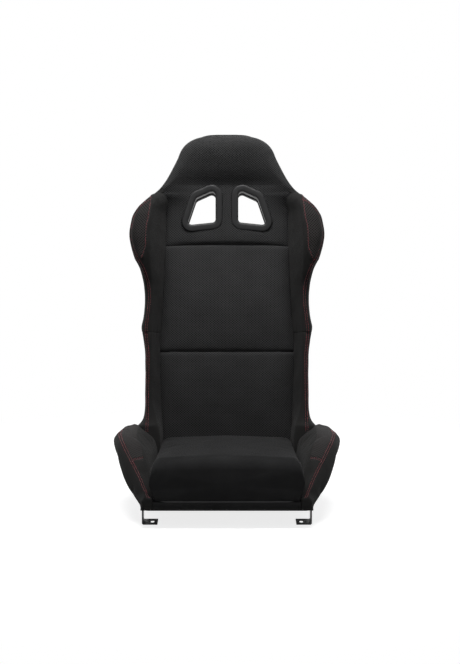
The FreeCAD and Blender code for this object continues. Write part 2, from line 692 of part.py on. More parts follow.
def make_bracket():
    body = new_body("bracket_right")
    body.setExpression(".Placement.Base.y", "-sizes.setback")
    plate = new_sketch(body, "plate_outline", "YZ_Plane", "sizes.bracket_inner")
    draw_path(plate, [
        Corner("sizes.bracket_front", "0"),
        Corner("sizes.bracket_front + sizes.foot_length", "0"),
        Corner("sizes.bracket_front + sizes.foot_length", "sizes.bracket_arch", "sizes.bracket_corner"),
        Corner(f"{BRACKET_REAR} - sizes.foot_length", "sizes.bracket_arch", "sizes.bracket_corner"),
        Corner(f"{BRACKET_REAR} - sizes.foot_length", "0"),
        Corner(BRACKET_REAR, "0"),
        Corner(BRACKET_REAR, "sizes.bracket_top", "2 * sizes.bracket_corner"),
        Corner("sizes.bracket_front", "sizes.bracket_top", "2 * sizes.bracket_corner"),
    ], closed=True)
    pad(body, "plate", plate, "sizes.bracket_steel")
    feet = new_sketch(body, "feet_outline", "XY_Plane")
    for front in FOOT_FRONTS:
        draw_path(feet, [
            Corner(f"{BRACKET_OUTER} - sizes.foot_reach", front),
            Corner(BRACKET_OUTER, front),
            Corner(BRACKET_OUTER, f"{front} + sizes.foot_length"),
            Corner(f"{BRACKET_OUTER} - sizes.foot_reach", f"{front} + sizes.foot_length"),
        ], closed=True)
    joined = pad(body, "feet", feet, "sizes.bracket_steel")
    bends = {
        "sizes.bracket_bend": (size("bracket_inner") + size("bracket_steel"), 0),
        "sizes.bracket_bend - sizes.bracket_steel": (size("bracket_inner"), size("bracket_steel")),
    }
    for number, (radius, (across, height)) in enumerate(bends.items()):
        names = [
            f"Edge{index}" for index, edge in enumerate(joined.Shape.Edges, start=1)
            if all(abs(v.X - across) < 1e-4 and abs(v.Z - height) < 1e-4 for v in edge.Vertexes)
        ]
        fillet = body.newObject("PartDesign::Fillet", f"bend_{number}")
        fillet.Base = (joined, names)
        fillet.setExpression("Radius", radius)
        doc.recompute()
        joined = fillet
    slots = new_sketch(body, "foot_slots", "XY_Plane")
    for front in FOOT_FRONTS:
        draw_slot(slots, f"{BRACKET_OUTER} - sizes.slot_inset", f"{front} + sizes.foot_length / 2",
                  "sizes.slot_width", "sizes.slot_length")
    pocket_through(body, "foot_slot_cut", slots)
    holes = new_sketch(body, "side_holes", "YZ_Plane", "sizes.bracket_inner")
    for depth in ("sizes.screw_front", "sizes.screw_rear"):
        for height in ("sizes.rail_height", "sizes.rail_height - sizes.adjust_hole_step"):
            draw_circle(holes, depth, height, "sizes.side_hole_diameter")
    pocket_through(body, "side_hole_cut", holes)
    return node(body, "bracket_right")


bracket = make_bracket()
mirrored(bracket, "bracket_left")


# Side screws

def make_side_screw():
    """A flanged socket screw standing on its own origin, its head upwards."""
    body = new_body("side_screw")
    outline = new_sketch(body, "screw_outline", "XZ_Plane")
    draw_path(outline, [
        Corner("0", "-sizes.screw_reach"),
        Corner("sizes.screw_diameter / 2", "-sizes.screw_reach"),
        Corner("sizes.screw_diameter / 2", "0"),
        Corner("sizes.screw_head / 2", "0"),
        Corner("sizes.screw_head / 2", "sizes.screw_head_height / 3"),
        Corner("sizes.screw_head_top / 2", "sizes.screw_head_height"),
        Corner("0", "sizes.screw_head_height"),
    ], closed=True)
    turned = body.newObject("PartDesign::Revolution", "screw_turned")
    turned.Profile = outline
    turned.ReferenceAxis = (outline, ["V_Axis"])
    turned.Angle = 360
    doc.recompute()
    socket = new_sketch(body, "socket_outline", "XY_Plane", "sizes.screw_head_height")
    draw_path(socket, [
        Corner(f"sizes.hex_key / 2 / cos(30deg) * cos({angle}deg)",
               f"sizes.hex_key / 2 / cos(30deg) * sin({angle}deg)")
        for angle in (15, 75, 135, 195, 255, 315)
    ], closed=True)
    before = body.Shape.Volume
    recess = body.newObject("PartDesign::Pocket", "socket_cut")
    recess.Profile = socket
    recess.setExpression("Length", "sizes.screw_head_height * 0.6")
    doc.recompute()
    if body.Shape.Volume >= before:
        raise RuntimeError("the socket cuts nothing")
    return body


screw = make_side_screw()
head_seat = size("bracket_inner") + size("bracket_steel")
shaped("bracket_screws", Part.makeCompound([
    screw.Shape.transformed(
        Placement(on_base(side * head_seat, depth, RAIL_Z), Rotation(Y_AXIS, side * 90)).Matrix)
    for side in SIDES for depth in SCREW_DEPTHS
]))


# Harness openings and their bezels

def opening_outline(name, proud):
    """The outline of the right harness opening, drawn on a plane ahead of the backrest face."""
    sketch = doc.addObject("Sketcher::SketchObject", name)
    draw_path(sketch, [
        Corner("sizes.hole_inner", "sizes.hole_bottom_inner", "sizes.hole_corner"),
        Corner("sizes.hole_outer", "sizes.hole_bottom_outer", "sizes.hole_corner"),
        Corner("sizes.hole_shoulder", "sizes.hole_top_outer", "1.6 * sizes.hole_corner"),
        Corner("sizes.hole_inner", "sizes.hole_top_inner", "1.2 * sizes.hole_corner"),
    ], closed=True)
    lean_with_back(sketch, proud=proud)
    doc.recompute()
    return sketch


def band_round(outline, name, width, forwards, backwards):
    """A wall of even width round the opening, running forwards and backwards of its plane."""
    band = doc.addObject("Part::Offset2D", f"{name}_band")
    band.Source = outline
    band.setExpression("Value", width)
    band.Fill = True
    doc.recompute()
    wall = doc.addObject("Part::Extrusion", f"{name}_wall")
    wall.Base = band
    wall.DirMode = "Normal"
    wall.setExpression("LengthFwd", forwards)
    wall.setExpression("LengthRev", backwards)
    wall.Solid = True
    doc.recompute()
    return wall


def make_bezel(label, proud, faces_forward):
    """One half of a bezel: a bevelled flange on the cover and a sleeve into the padding."""
    outline = opening_outline(f"{label}_outline", proud)
    sleeve_reach = "(sizes.back_behind / 2)"
    front, back = ("sizes.bezel_height", "0") if faces_forward else ("0", "sizes.bezel_height")
    flange = band_round(outline, f"{label}_flange", "sizes.bezel_flange", front, back)
    front, back = (front, sleeve_reach) if faces_forward else (sleeve_reach, back)
    sleeve = band_round(outline, f"{label}_sleeve", "sizes.bezel_wall", front, back)
    joined = doc.addObject("Part::MultiFuse", f"{label}_joined")
    joined.Shapes = [flange, sleeve]
    joined.Refine = True
    doc.recompute()
    way = 1 if faces_forward else -1
    face_proud = float(sheet.evalExpression(proud)) + way * size("bezel_height")
    to_back = back_place.inverse()
    eased = doc.addObject("Part::Chamfer", label)
    eased.Base = joined
    eased.Edges = [
        (index, size("bezel_edge"), size("bezel_edge"))
        for index, edge in enumerate(joined.Shape.Edges, start=1)
        if all(abs(to_back.multVec(v.Point).z - face_proud) < 1e-3 for v in edge.Vertexes)
    ]
    doc.recompute()
    return node(eased, label)


REAR_FACE = "(sizes.back_behind + sizes.clearance + sizes.rear_cover_thickness)"
front_bezel = make_bezel("harness_bezel_right", "sizes.clearance", True)
mirrored(front_bezel, "harness_bezel_left")
rear_bezel = make_bezel("rear_bezel_right", f"-{REAR_FACE} - sizes.clearance", False)
mirrored(rear_bezel, "rear_bezel_left")


# Soft pads: lofts through sections of straight sides and tangent arcs

GAP = size("clearance")
BEHIND = size("back_behind")
FOAM_REAR = size("hoop_behind") - TUBE_HALF - WEB - GAP
SEAM_GAP = size("seam_clearance")
SEAM = size("seam_draw")
TUNNEL = TUBE_HALF + WEB + size("tube_ease")
BOLSTER_DROP = 20
LOWER_END = size("back_lower_level") - BOLSTER_DROP
# Reach of a cutting block past everything that it cuts.
FAR = 700


def rounded_section(corners, place, bulges=None):
    """A closed wire. Corners are (across, out, radius), with radius 0 for a sharp one; bulges
    gives the rise of a side, counted from its first corner, as an arc away from the inside."""
    bulges = bulges or {}
    flat = [Vector(across, out, 0) for across, out, _ in corners]
    count = len(corners)
    arcs = []
    for index, (_, _, radius) in enumerate(corners):
        after = flat[(index + 1) % count]
        if radius:
            arcs.append(corner_arc(flat[index - 1], flat[index], after, radius)[:3])
        else:
            arcs.append((flat[index], flat[index], None))
    edges = []
    for index in range(count):
        start, end, centre = arcs[index]
        if centre is not None:
            middle = centre + (flat[index] - centre).normalize() * corners[index][2]
            edges.append(Part.Arc(*[place(p.x, p.y) for p in (start, middle, end)]).toShape())
        following = arcs[(index + 1) % count][0]
        if index in bulges:
            along = following - end
            outwards = Vector(along.y, -along.x, 0).normalize()
            top = (end + following) * 0.5 + outwards * bulges[index]
            edges.append(Part.Arc(*[place(p.x, p.y) for p in (end, top, following)]).toShape())
        else:
            edges.append(Part.LineSegment(place(end.x, end.y), place(following.x, following.y)).toShape())
    return Part.Wire(edges)


def loft(sections):
    """A solid through the sections, straight from each to the next."""
    return Part.makeLoft(sections, True, True)


def between(stations, level):
    """A value read off (level, value) pairs along a smooth curve that never overshoots."""
    levels = [station[0] for station in stations]
    values = [station[1] for station in stations]
    if level <= levels[0]:
        return values[0]
    if level >= levels[-1]:
        return values[-1]
    spans = [high - low for low, high in zip(levels, levels[1:])]
    rises = [(end - start) / span for start, end, span in zip(values, values[1:], spans)]
    slopes = [rises[0]]
    for before, after, span, next_span in zip(rises, rises[1:], spans, spans[1:]):
        if before * after <= 0:
            slopes.append(0)
        else:
            near, far = span + 2 * next_span, 2 * span + next_span
            slopes.append((near + far) / (near / before + far / after))
    slopes.append(rises[-1])
    index = max(i for i, low in enumerate(levels[:-1]) if low <= level)
    span = spans[index]
    run = (level - levels[index]) / span
    rest = 1 - run
    return (
        values[index] * (1 + 2 * run) * rest ** 2
        + values[index + 1] * (3 - 2 * run) * run ** 2
        + span * slopes[index] * run * rest ** 2
        - span * slopes[index + 1] * rest * run ** 2
    )


def stretch(low, high, shares):
    return [(low + (high - low) * share, value) for share, value in shares]


def mix(start, end, share):
    return start + (end - start) * share


# Half outline of the backrest: the waist, the flare of the wings, the neck and the head.
WAIST = size("bolster_half_width")
WING = size("wing_half_width")
NECK = size("neck_half_width")
HEAD = size("head_half_width")
HEAD_TOP = size("head_top_half_width")
WING_LEVEL = size("wing_level")
NECK_LEVEL = size("neck_level")
SEAM_LEVEL = size("bolster_seam_level")
OUTLINE = (
    [(LOWER_END, WAIST - 8), (0, WAIST), (SEAM_LEVEL, WAIST + 3)]
    + stretch(SEAM_LEVEL, WING_LEVEL, [
        (0.36, WAIST - 2), (0.47, WAIST), (0.63, mix(WAIST, WING, 0.23)),
        (0.78, mix(WAIST, WING, 0.69)), (1, WING)])
    + stretch(WING_LEVEL, NECK_LEVEL, [
        (0.27, mix(NECK, WING, 0.93)), (0.5, mix(NECK, WING, 0.74)), (0.66, mix(NECK, WING, 0.51)),
        (0.83, mix(NECK, WING, 0.21)), (1, NECK)])
    + stretch(NECK_LEVEL, size("head_top_level"), [
        (0.19, mix(HEAD, NECK, 0.61)), (0.36, mix(HEAD, NECK, 0.3)), (0.53, HEAD),
        (0.69, mix(HEAD_TOP, HEAD, 0.85)), (0.86, mix(HEAD_TOP, HEAD, 0.56)),
        (0.94, mix(HEAD_TOP, HEAD, 0.3)), (1, HEAD_TOP)])
)
# Seam between the middle panels and the bolsters.
PANEL_SIDE = [
    (0, size("panel_foot_half_width")),
    (size("mid_seam_level"), size("panel_waist_half_width")),
    (mix(size("mid_seam_level"), size("yoke_seam_level"), 0.48), size("panel_shoulder_half_width") + 5),
    (size("yoke_seam_level"), size("panel_shoulder_half_width")),
    (mix(size("yoke_seam_level"), NECK_LEVEL, 0.6), size("panel_shoulder_half_width")),
    (NECK_LEVEL, size("panel_neck_half_width")),
]
HOOP_SIDE = [
    (size("hoop_waist_level"), RAIL_X),
    (size("hoop_shoulder_low"), size("hoop_shoulder_half_width")),
    (size("hoop_shoulder_high"), size("hoop_shoulder_half_width")),
    (size("hoop_neck_level"), size("hoop_neck_half_width")),
    (size("hoop_crown_level"), size("hoop_crown_half_width")),
]

hoop_tunnel = along_hoop(TUNNEL)
base_tunnel = along_base_tube(TUNNEL)
wing_stay_tunnel = stay(WING_STAY, GAP)
thigh_stay_tunnel = stay(THIGH_STAY, GAP)


def main_solid(shape):
    """The pad itself, without the thin offcuts that a tunnel leaves along its edge."""
    return max(shape.Solids, key=lambda solid: solid.Volume)


def behind_plane(proud):
    """Everything behind a plane parallel to the backrest face."""
    slab = Part.makeBox(2 * FAR, 2 * FAR, FAR, Vector(-FAR, -FAR, proud - FAR))
    return slab.transformed(back_place.Matrix)


# Height of the bolster crest ahead of the backrest face, and its ridge from the middle.
BOLSTER = size("bolster_proud")
WING_PROUD = size("wing_proud")
WING_RIDGE = WING - size("wing_inset")
WAIST_RIDGE = WAIST - size("bolster_inset")
FOOT_RIDGE = size("panel_foot_half_width") + 9
PROUD = (
    [(LOWER_END, BOLSTER + 8), (60, BOLSTER + 7), (130, BOLSTER + 2), (200, BOLSTER)]
    + stretch(SEAM_LEVEL, WING_LEVEL, [
        (0.3, BOLSTER), (0.47, mix(BOLSTER, WING_PROUD, 0.1)), (0.63, mix(BOLSTER, WING_PROUD, 0.57)),
        (0.78, mix(BOLSTER, WING_PROUD, 0.88)), (1, WING_PROUD)])
    + stretch(WING_LEVEL, NECK_LEVEL, [
        (0.27, WING_PROUD * 0.97), (0.5, WING_PROUD * 0.87), (0.66, WING_PROUD * 0.72),
        (0.83, WING_PROUD * 0.51), (1, size("head_proud") + 4)])
)
RIDGE = (
    [(LOWER_END, FOOT_RIDGE), (10, FOOT_RIDGE), (120, WAIST_RIDGE - 6), (SEAM_LEVEL, WAIST_RIDGE - 3)]
    + stretch(SEAM_LEVEL, WING_LEVEL, [(0.47, WAIST_RIDGE - 5), (0.78, WING_RIDGE), (1, WING_RIDGE)])
    + stretch(WING_LEVEL, NECK_LEVEL, [
        (0.27, WING_RIDGE - 3), (0.5, WING_RIDGE - 8), (0.66, WING_RIDGE - 18),
        (0.83, NECK + 2), (1, NECK - 14)])
)


def bolster_section(level):
    """Section across a side bolster: seam, inner face, crest, side and rear."""
    inner = between(PANEL_SIDE, level)
    outer = between(OUTLINE, level)
    proud = between(PROUD, level)
    ridge = between(RIDGE, level)
    root = max(between(HOOP_SIDE, level), inner + 4)
    corners = [
        (inner, -FOAM_REAR, 0),
        (root, -FOAM_REAR, 0),
        (root, -BEHIND, 0),
        (min(root + 17, outer - 10), -BEHIND, 0),
        (min(root + 24, outer - 3), -BEHIND * 0.72, 0),
        (outer, proud * 0.6, 10),
        (outer - 0.28 * (outer - ridge), proud, 5),
        (ridge, proud * 0.94, 6),
        (inner, -SEAM - 1, 0),
    ]
    return rounded_section(corners, lambda across, out: on_back(across, level, out))


def bolster(low, high, spans):
    """A side bolster lofted through even stations from one level to another."""
    return loft([bolster_section(mix(low, high, index / spans)) for index in range(spans + 1)])


BASE_SIDE = size("base_side")
EASE = size("bracket_ease")
bracket_recess = block(
    on_base(size("bracket_inner") - GAP, size("bracket_front") - EASE, 0),
    on_base(FAR, FAR, size("bracket_top") + EASE / 2),
)
floor_recess = block(
    on_base(-FAR, -FAR, -FAR), on_base(FAR, FAR, size("lip_bottom")))
BOSS_SPACE = size("boss_diameter") / 2 + size("boss_ease")
boss_space = [
    sideways_cylinder(BOSS_SPACE, RAIL_X, FAR, depth, RAIL_Z) for depth in SCREW_DEPTHS
]
# The rails come out through the rear of the pads; the rear cross tube lies under the foam.
rail_end_space = block(
    on_base(RAIL_X - TUNNEL, size("rail_rear") - TUNNEL, RAIL_Z - TUNNEL),
    on_base(RAIL_X + TUNNEL, FAR, RAIL_Z + TUNNEL),
)
CROSS_SPACE = TUBE_HALF + GAP
cross_tube_space = block(
    on_base(-RAIL_X, hoop_foot_depth - CROSS_SPACE, RAIL_Z - CROSS_SPACE),
    on_base(RAIL_X, hoop_foot_depth + CROSS_SPACE, RAIL_Z + CROSS_SPACE),
)
BASE_INNER = size("base_inner_half_width")
base_pad_space = block(
    on_base(-BASE_INNER - GAP, 0, 0),
    on_base(BASE_INNER + GAP, size("base_pad_rear") + GAP, size("base_pad_top") + GAP),
)
side_bolster = bolster(LOWER_END, SEAM_LEVEL - GAP / 2, 8)
side_bolster = side_bolster.cut([
    hoop_tunnel, base_tunnel, rail_end_space, cross_tube_space, bracket_recess, floor_recess,
    base_pad_space, *boss_space,
])
side_bolster = shaped("side_bolster_right", main_solid(side_bolster))
mirrored(side_bolster, "side_bolster_left")

wing = bolster(SEAM_LEVEL + GAP / 2, NECK_LEVEL - GAP, 15)
wing = shaped("shoulder_wing_right", main_solid(wing.cut([hoop_tunnel, wing_stay_tunnel])))
mirrored(wing, "shoulder_wing_left")


# Every panel keeps a slight crown, so that all of its sections have the same kinds of edges.
LEAST_CROWN = 0.2


def panel_section(level, front, rear, crown, side, corner):
    half = side - SEAM_GAP
    corners = [
        (-half, rear, 0), (half, rear, 0), (half, front, corner), (-half, front, corner),
    ]
    return rounded_section(
        corners, lambda across, out: on_back(across, level, out), {2: max(crown, LEAST_CROWN)})


def cover_panel(low, high, draws):
    """A padded panel, drawn in at its seams; draws gives (share, front, crown share)."""
    sections = []
    for share, front, crown in draws:
        level = mix(low, high, share)
        sections.append(panel_section(
            level, front, -size("panel_thickness"), crown * size("panel_crown"),
            between(PANEL_SIDE, level), size("panel_edge")))
    return loft(sections)


PILLOW = (
    (0, -SEAM, 0), (0.03, -SEAM / 3, 0.3), (0.1, -SEAM / 10, 0.7), (0.3, 0, 1), (0.5, 0, 1),
    (0.7, 0, 1), (0.9, -SEAM / 10, 0.7), (0.97, -SEAM / 3, 0.3), (1, -SEAM, 0),
)
YOKE = (
    (0, -SEAM, 0), (0.03, -SEAM / 3, 0), (0.08, 0, 0), (0.6, 0, 0), (0.7, 0, 0), (0.8, 0, 0),
    (0.9, 0, 0), (1, 0, 0),
)
shaped("lumbar_panel", cover_panel(
    size("back_lower_level"), size("mid_seam_level") - GAP / 2, PILLOW))
shaped("upper_back_panel", cover_panel(
    size("mid_seam_level") + GAP / 2, size("yoke_seam_level") - GAP / 2, PILLOW))

opening_sketch = opening_outline("opening_cutter", "0")
opening_wire = Part.Wire(opening_sketch.Shape.Edges).makeOffset2D(size("bezel_wall") + GAP)
forwards = on_back(0, 0, 1) - on_back(0, 0, 0)
opening_solid = Part.Face(opening_wire).extrude(forwards * FAR)
opening_solid.translate(forwards * (-FAR / 2))
openings = [opening_solid, opening_solid.mirror(Vector(0, 0, 0), X_AXIS)]

head_panel = cover_panel(size("yoke_seam_level") + GAP / 2, NECK_LEVEL - GAP / 2, YOKE)
shaped("head_panel", head_panel.cut(openings))

FOAM_SPANS = 14
back_foam = loft([
    panel_section(level, -size("panel_thickness") - GAP, -FOAM_REAR, 0,
                  between(PANEL_SIDE, level), 0)
    for level in (
        mix(size("back_lower_level"), NECK_LEVEL - GAP / 2, index / FOAM_SPANS)
        for index in range(FOAM_SPANS + 1)
    )
])
shaped("back_foam", back_foam.cut([*openings, base_pad_space, cross_tube_space]))


def head_section(level, half, front, rear):
    corners = [
        (-half, rear, 0), (half, rear, 0),
        (half, front, size("head_edge")), (-half, front, size("head_edge")),
    ]
    return rounded_section(
        corners, lambda across, out: on_back(across, level, out), {2: size("head_crown")})


HEAD_PROUD = size("head_proud")
head_sections = []
for share, front_share, rear_share in (
        (0, 1, 1), (0.19, 1, 1), (0.36, 1, 1), (0.53, 1, 1), (0.69, 0.95, 1),
        (0.86, 0.75, 0.97), (0.94, 0.5, 0.88), (1, 0.1, 0.7)):
    level = mix(NECK_LEVEL + GAP / 2, size("head_top_level"), share)
    head_sections.append(head_section(
        level, between(OUTLINE, level), HEAD_PROUD * front_share, -BEHIND * rear_share))
shaped("head_pad", loft(head_sections).cut(hoop_tunnel))


# Rear cover: a fabric-faced board over the back of the frame

def make_rear_cover():
    body = new_body("rear_cover_board")
    outline = new_sketch(body, "rear_cover_outline", "XY_Plane")
    inset = size("rear_cover_inset")
    head_top = size("head_top_level")
    levels = (
        (size("rear_cover_low"), inset), (size("hoop_waist_level") - 35, 4 * inset),
        (WING_LEVEL - 30, 4 * inset), (WING_LEVEL + 40, 3 * inset), (NECK_LEVEL + 10, 4 * inset),
        (head_top - 50, 3 * inset), (head_top - 18, 2 * inset),
    )
    half = [
        Corner(str(round(min(between(OUTLINE, level) - inset, between(HOOP_SIDE, level) + inset), 2)),
               str(level), str(radius))
        for level, radius in levels
    ]
    other = [Corner(f"-{c.across}", c.along, c.radius) for c in reversed(half)]
    draw_path(outline, half + other, closed=True)
    pad(body, "rear_cover_pad", outline, "sizes.rear_cover_thickness", reversed_way=True)
    lean_with_back(body, proud="-sizes.back_behind - sizes.clearance")
    doc.recompute()
    return body


cover_holes = hidden("rear_cover_openings", Part.makeCompound(openings))
node(cut("rear_cover", make_rear_cover(), cover_holes), "rear_cover")


# Base: lip, pad, dust cover and thigh bolsters

def lip_section(across):
    low, high = size("lip_bottom"), size("lip_top")
    front, rear = size("lip_front"), size("lip_front") + size("lip_depth")
    lower_edge, upper_edge = size("lip_lower_edge"), size("lip_front_edge")
    corners = [
        (front, low, lower_edge), (rear, low, lower_edge / 4),
        (rear, high, upper_edge / 2), (front, high, upper_edge),
    ]
    return rounded_section(corners, lambda depth, height: on_base(across, depth, height))


lip = loft([lip_section(-BASE_INNER), lip_section(BASE_INNER)])
shaped("front_lip", lip.cut(along_base_tube(TUBE_HALF + GAP)))

base_pad = block(
    on_base(-BASE_INNER, size("lip_depth") + GAP, size("base_pad_bottom")),
    on_base(BASE_INNER, size("base_pad_rear"), size("base_pad_top")),
)
shaped("base_pad", base_pad.cut([base_tunnel, *[
    sideways_cylinder(BOSS_SPACE, RAIL_X - TUNNEL, RAIL_X, depth, RAIL_Z, side)
    for depth in SCREW_DEPTHS for side in SIDES
]]))


def make_dust_cover():
    body = new_body("dust_cover")
    outline = new_sketch(body, "dust_cover_outline", "XY_Plane")
    front = "sizes.lip_front + sizes.dust_cover_setback"
    rear = "sizes.rail_rear - sizes.dust_cover_corner"
    draw_path(outline, [
        Corner(f"{way}(sizes.base_side - sizes.dust_cover_inset)", along, "sizes.dust_cover_corner")
        for way, along in (("-", front), ("", front), ("", rear), ("-", rear))
    ], closed=True)
    pad(body, "dust_cover_pad", outline, "sizes.dust_cover_thickness")
    body.setExpression(".Placement.Base.y", "-sizes.setback")
    body.setExpression(".Placement.Base.z", "sizes.dust_cover_bottom")
    doc.recompute()
    return node(body, "dust_cover")


make_dust_cover()

THIGH_TOP = size("thigh_height")
THIGH_SIDE = size("thigh_half_width")
THIGH_ROOT = size("base_pad_top") + 8
THIGH_INNER = size("thigh_inner_height")
REAR_PLANE = PROUD[0][1] + GAP


def thigh_section(depth, rise, reach, inner, under):
    """Section across a thigh bolster: inner face, crest, outer side and the curl under it."""
    top = mix(THIGH_ROOT, THIGH_TOP, rise)
    outer = mix(BASE_SIDE, THIGH_SIDE, reach)
    ridge = outer - mix(9, size("thigh_ridge_inset"), rise)
    crest = mix(BASE_INNER + 7, size("thigh_crest_half_width"), rise)
    bottom = size("lip_bottom")
    corners = [
        (BASE_INNER + GAP, bottom, 0),
        (BASE_SIDE - 0.4, bottom, 0),
        (BASE_SIDE + 1, under, 0),
        (outer - 2, mix(bottom + 12, top - 30, rise), mix(2, 8, rise)),
        (outer, mix(bottom + 22, top - 16, rise), mix(2, 9, rise)),
        (ridge, top, mix(3, 7, rise)),
        (crest, top - mix(1, 5, rise), mix(2, 12, rise)),
        (inner, mix(THIGH_ROOT - 1, THIGH_INNER, rise), mix(1.5, 14, rise)),
        (BASE_INNER + GAP + 0.6, THIGH_ROOT - 5, 0),
    ]
    return rounded_section(corners, lambda across, height: on_base(across, depth, height))


# Depth, share of the full height, share of the full width, inner side, and height of the curl.
THIGH_STATIONS = (
    (0, 0.03, 0.0, 184, 47), (14, 0.11, 0.11, 185.5, 49), (50, 0.37, 0.34, 190, 78),
    (110, 0.73, 0.67, 196, 82), (180, 0.95, 0.91, 198, 84), (250, 1.0, 1.0, 196, 86),
    (320, 1.0, 0.88, 191, 86), (size("back_depth") - 25, 1.0, 0.52, 186, 86),
)
thigh = loft([thigh_section(*station) for station in THIGH_STATIONS])
thigh = thigh.cut([
    base_tunnel, thigh_stay_tunnel, bracket_recess, behind_plane(REAR_PLANE), *boss_space,
])
thigh = shaped("thigh_bolster_right", main_solid(thigh))
mirrored(thigh, "thigh_bolster_left")


# Loose cushion with hook-and-loop strips

CUSHION_LOW = size("cushion_bottom")
CUSHION_FRONT = size("cushion_front")
CUSHION_CROWN = size("cushion_crown")
PAST_BACK = size("back_depth") + 20


def cushion_section(depth, top, half):
    """Section across the cushion: a narrow foot, bulging sides and a crowned top."""
    foot = half - (size("cushion_half_width") - size("cushion_foot_half_width"))
    widest = mix(CUSHION_LOW, top, 0.58)
    shoulder = half - CUSHION_CROWN
    foot_edge, side_edge = size("cushion_foot_edge"), size("cushion_side_edge")
    bulge = size("cushion_side_bulge")
    corners = [
        (-foot, CUSHION_LOW, foot_edge), (foot, CUSHION_LOW, foot_edge),
        (half, widest, bulge),
        (shoulder, top, side_edge), (-shoulder, top, side_edge),
        (-half, widest, bulge),
    ]
    return rounded_section(
        corners, lambda across, height: on_base(across, depth, height), {3: CUSHION_CROWN})


cushion_body = loft([
    cushion_section(CUSHION_FRONT, size("cushion_front_top"), size("cushion_half_width")),
    cushion_section(PAST_BACK, size("cushion_rear_top"), size("cushion_rear_half_width")),
])
# The side view gives the rolled front edge.
roll_top = size("cushion_front_top") + CUSHION_CROWN + GAP
roll = rounded_section(
    [
        (CUSHION_FRONT, CUSHION_LOW, size("cushion_roll") / 3),
        (PAST_BACK, CUSHION_LOW, 0),
        (PAST_BACK, roll_top, 0),
        (CUSHION_FRONT, roll_top, size("cushion_roll")),
    ],
    lambda depth, height: on_base(-THIGH_SIDE, depth, height),
)
side_view = Part.Face(roll).extrude(X_AXIS * (2 * THIGH_SIDE))
cushion = cushion_body.common(side_view).cut(behind_plane(size("cushion_rear_gap")))
shaped("seat_cushion", main_solid(cushion))


def strips(bottom):
    """A pair of strips running fore and aft."""
    front = (size("base_pad_rear") - size("strip_length")) / 2
    width, length = size("strip_width"), size("strip_length")
    return Part.makeCompound([
        Part.makeBox(width, length, size("strip_thickness"),
                     on_base(side * size("strip_spacing") / 2 - width / 2, front, bottom))
        for side in SIDES
    ])


shaped("base_loop_strips", strips(size("base_pad_top")))
shaped("cushion_hook_strips", strips(size("cushion_bottom") - size("strip_thickness")))

doc.recompute()
for item in doc.Objects:
    if "Invalid" in item.State or "Error" in item.State:
        raise RuntimeError(f"{item.Name} failed: {item.State}")
for item in NODES:
    if item.Shape.isNull() or not item.Shape.isValid():
        raise RuntimeError(f"{item.Label} has no valid shape")

os.makedirs("parts", exist_ok=True)
for item in NODES:
    item.Shape.exportStep(f"parts/{item.Label}.step")
    box = item.Shape.BoundBox
    print(f"{item.Label}: {len(item.Shape.Solids)} solids, {item.Shape.Volume / 1000:.1f} cm3, "
          f"x {box.XMin:.1f} {box.XMax:.1f}, y {box.YMin:.1f} {box.YMax:.1f}, z {box.ZMin:.1f} {box.ZMax:.1f}")
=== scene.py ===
import math

import bmesh
import bpy
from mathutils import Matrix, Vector, noise
from mathutils.kdtree import KDTree


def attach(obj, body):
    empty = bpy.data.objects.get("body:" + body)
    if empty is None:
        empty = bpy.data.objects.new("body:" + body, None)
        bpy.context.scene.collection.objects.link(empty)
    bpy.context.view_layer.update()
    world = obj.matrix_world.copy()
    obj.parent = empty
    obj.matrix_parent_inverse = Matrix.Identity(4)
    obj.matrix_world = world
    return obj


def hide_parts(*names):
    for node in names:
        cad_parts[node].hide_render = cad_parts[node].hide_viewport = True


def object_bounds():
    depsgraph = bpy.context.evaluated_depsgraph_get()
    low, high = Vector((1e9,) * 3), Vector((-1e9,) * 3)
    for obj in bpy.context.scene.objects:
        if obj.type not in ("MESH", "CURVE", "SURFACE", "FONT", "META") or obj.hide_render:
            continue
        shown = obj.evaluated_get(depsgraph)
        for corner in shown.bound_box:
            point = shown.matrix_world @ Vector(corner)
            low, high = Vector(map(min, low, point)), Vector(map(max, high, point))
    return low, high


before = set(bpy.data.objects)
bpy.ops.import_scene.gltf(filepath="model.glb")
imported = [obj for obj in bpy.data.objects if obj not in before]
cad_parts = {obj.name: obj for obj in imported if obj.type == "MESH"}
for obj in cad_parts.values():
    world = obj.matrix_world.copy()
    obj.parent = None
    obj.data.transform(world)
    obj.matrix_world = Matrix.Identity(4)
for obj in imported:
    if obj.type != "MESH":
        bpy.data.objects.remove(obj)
CAD_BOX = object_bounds()

# The sitter faces -Y. "Depth" is counted rearwards from the front lip, "level" up the leaning
# face of the backrest and "proud" forwards from that face. Forms and tables are in millimetres
# and built on the right side; points, patterns and lamps are in metres.
MM = 0.001
FRONT_Y = CAD_BOX[0][1]
RAKE = math.radians(12)
BACK_FOOT = Vector((0, FRONT_Y + 0.410, 0.128))
UP_BACK = Vector((0, math.sin(RAKE), math.cos(RAKE)))
OUT_OF_BACK = Vector((0, -math.cos(RAKE), math.sin(RAKE)))


def on_back(across, level, proud):
    """A point of the leaning backrest."""
    return Vector((across * MM, 0, 0)) + BACK_FOOT + UP_BACK * level * MM + OUT_OF_BACK * proud * MM


def on_base(across, depth, height):
    return Vector((across * MM, FRONT_Y + depth * MM, height * MM))


def linked(name, data):
    """A new object in the scene."""
    made = bpy.data.objects.new(name, data)
    bpy.context.scene.collection.objects.link(made)
    return made


# Camera

CAMERA_AHEAD, CAMERA_HEIGHT = 4.000, 1.040
CAMERA_PITCH = math.radians(7.846)
# These three in pixels of the photograph.
PHOTO_HEIGHT, FOCAL_LENGTH, SEAT_LEFT_OF_CENTRE = 664, 1670.6, 3.1
SENSOR = 36

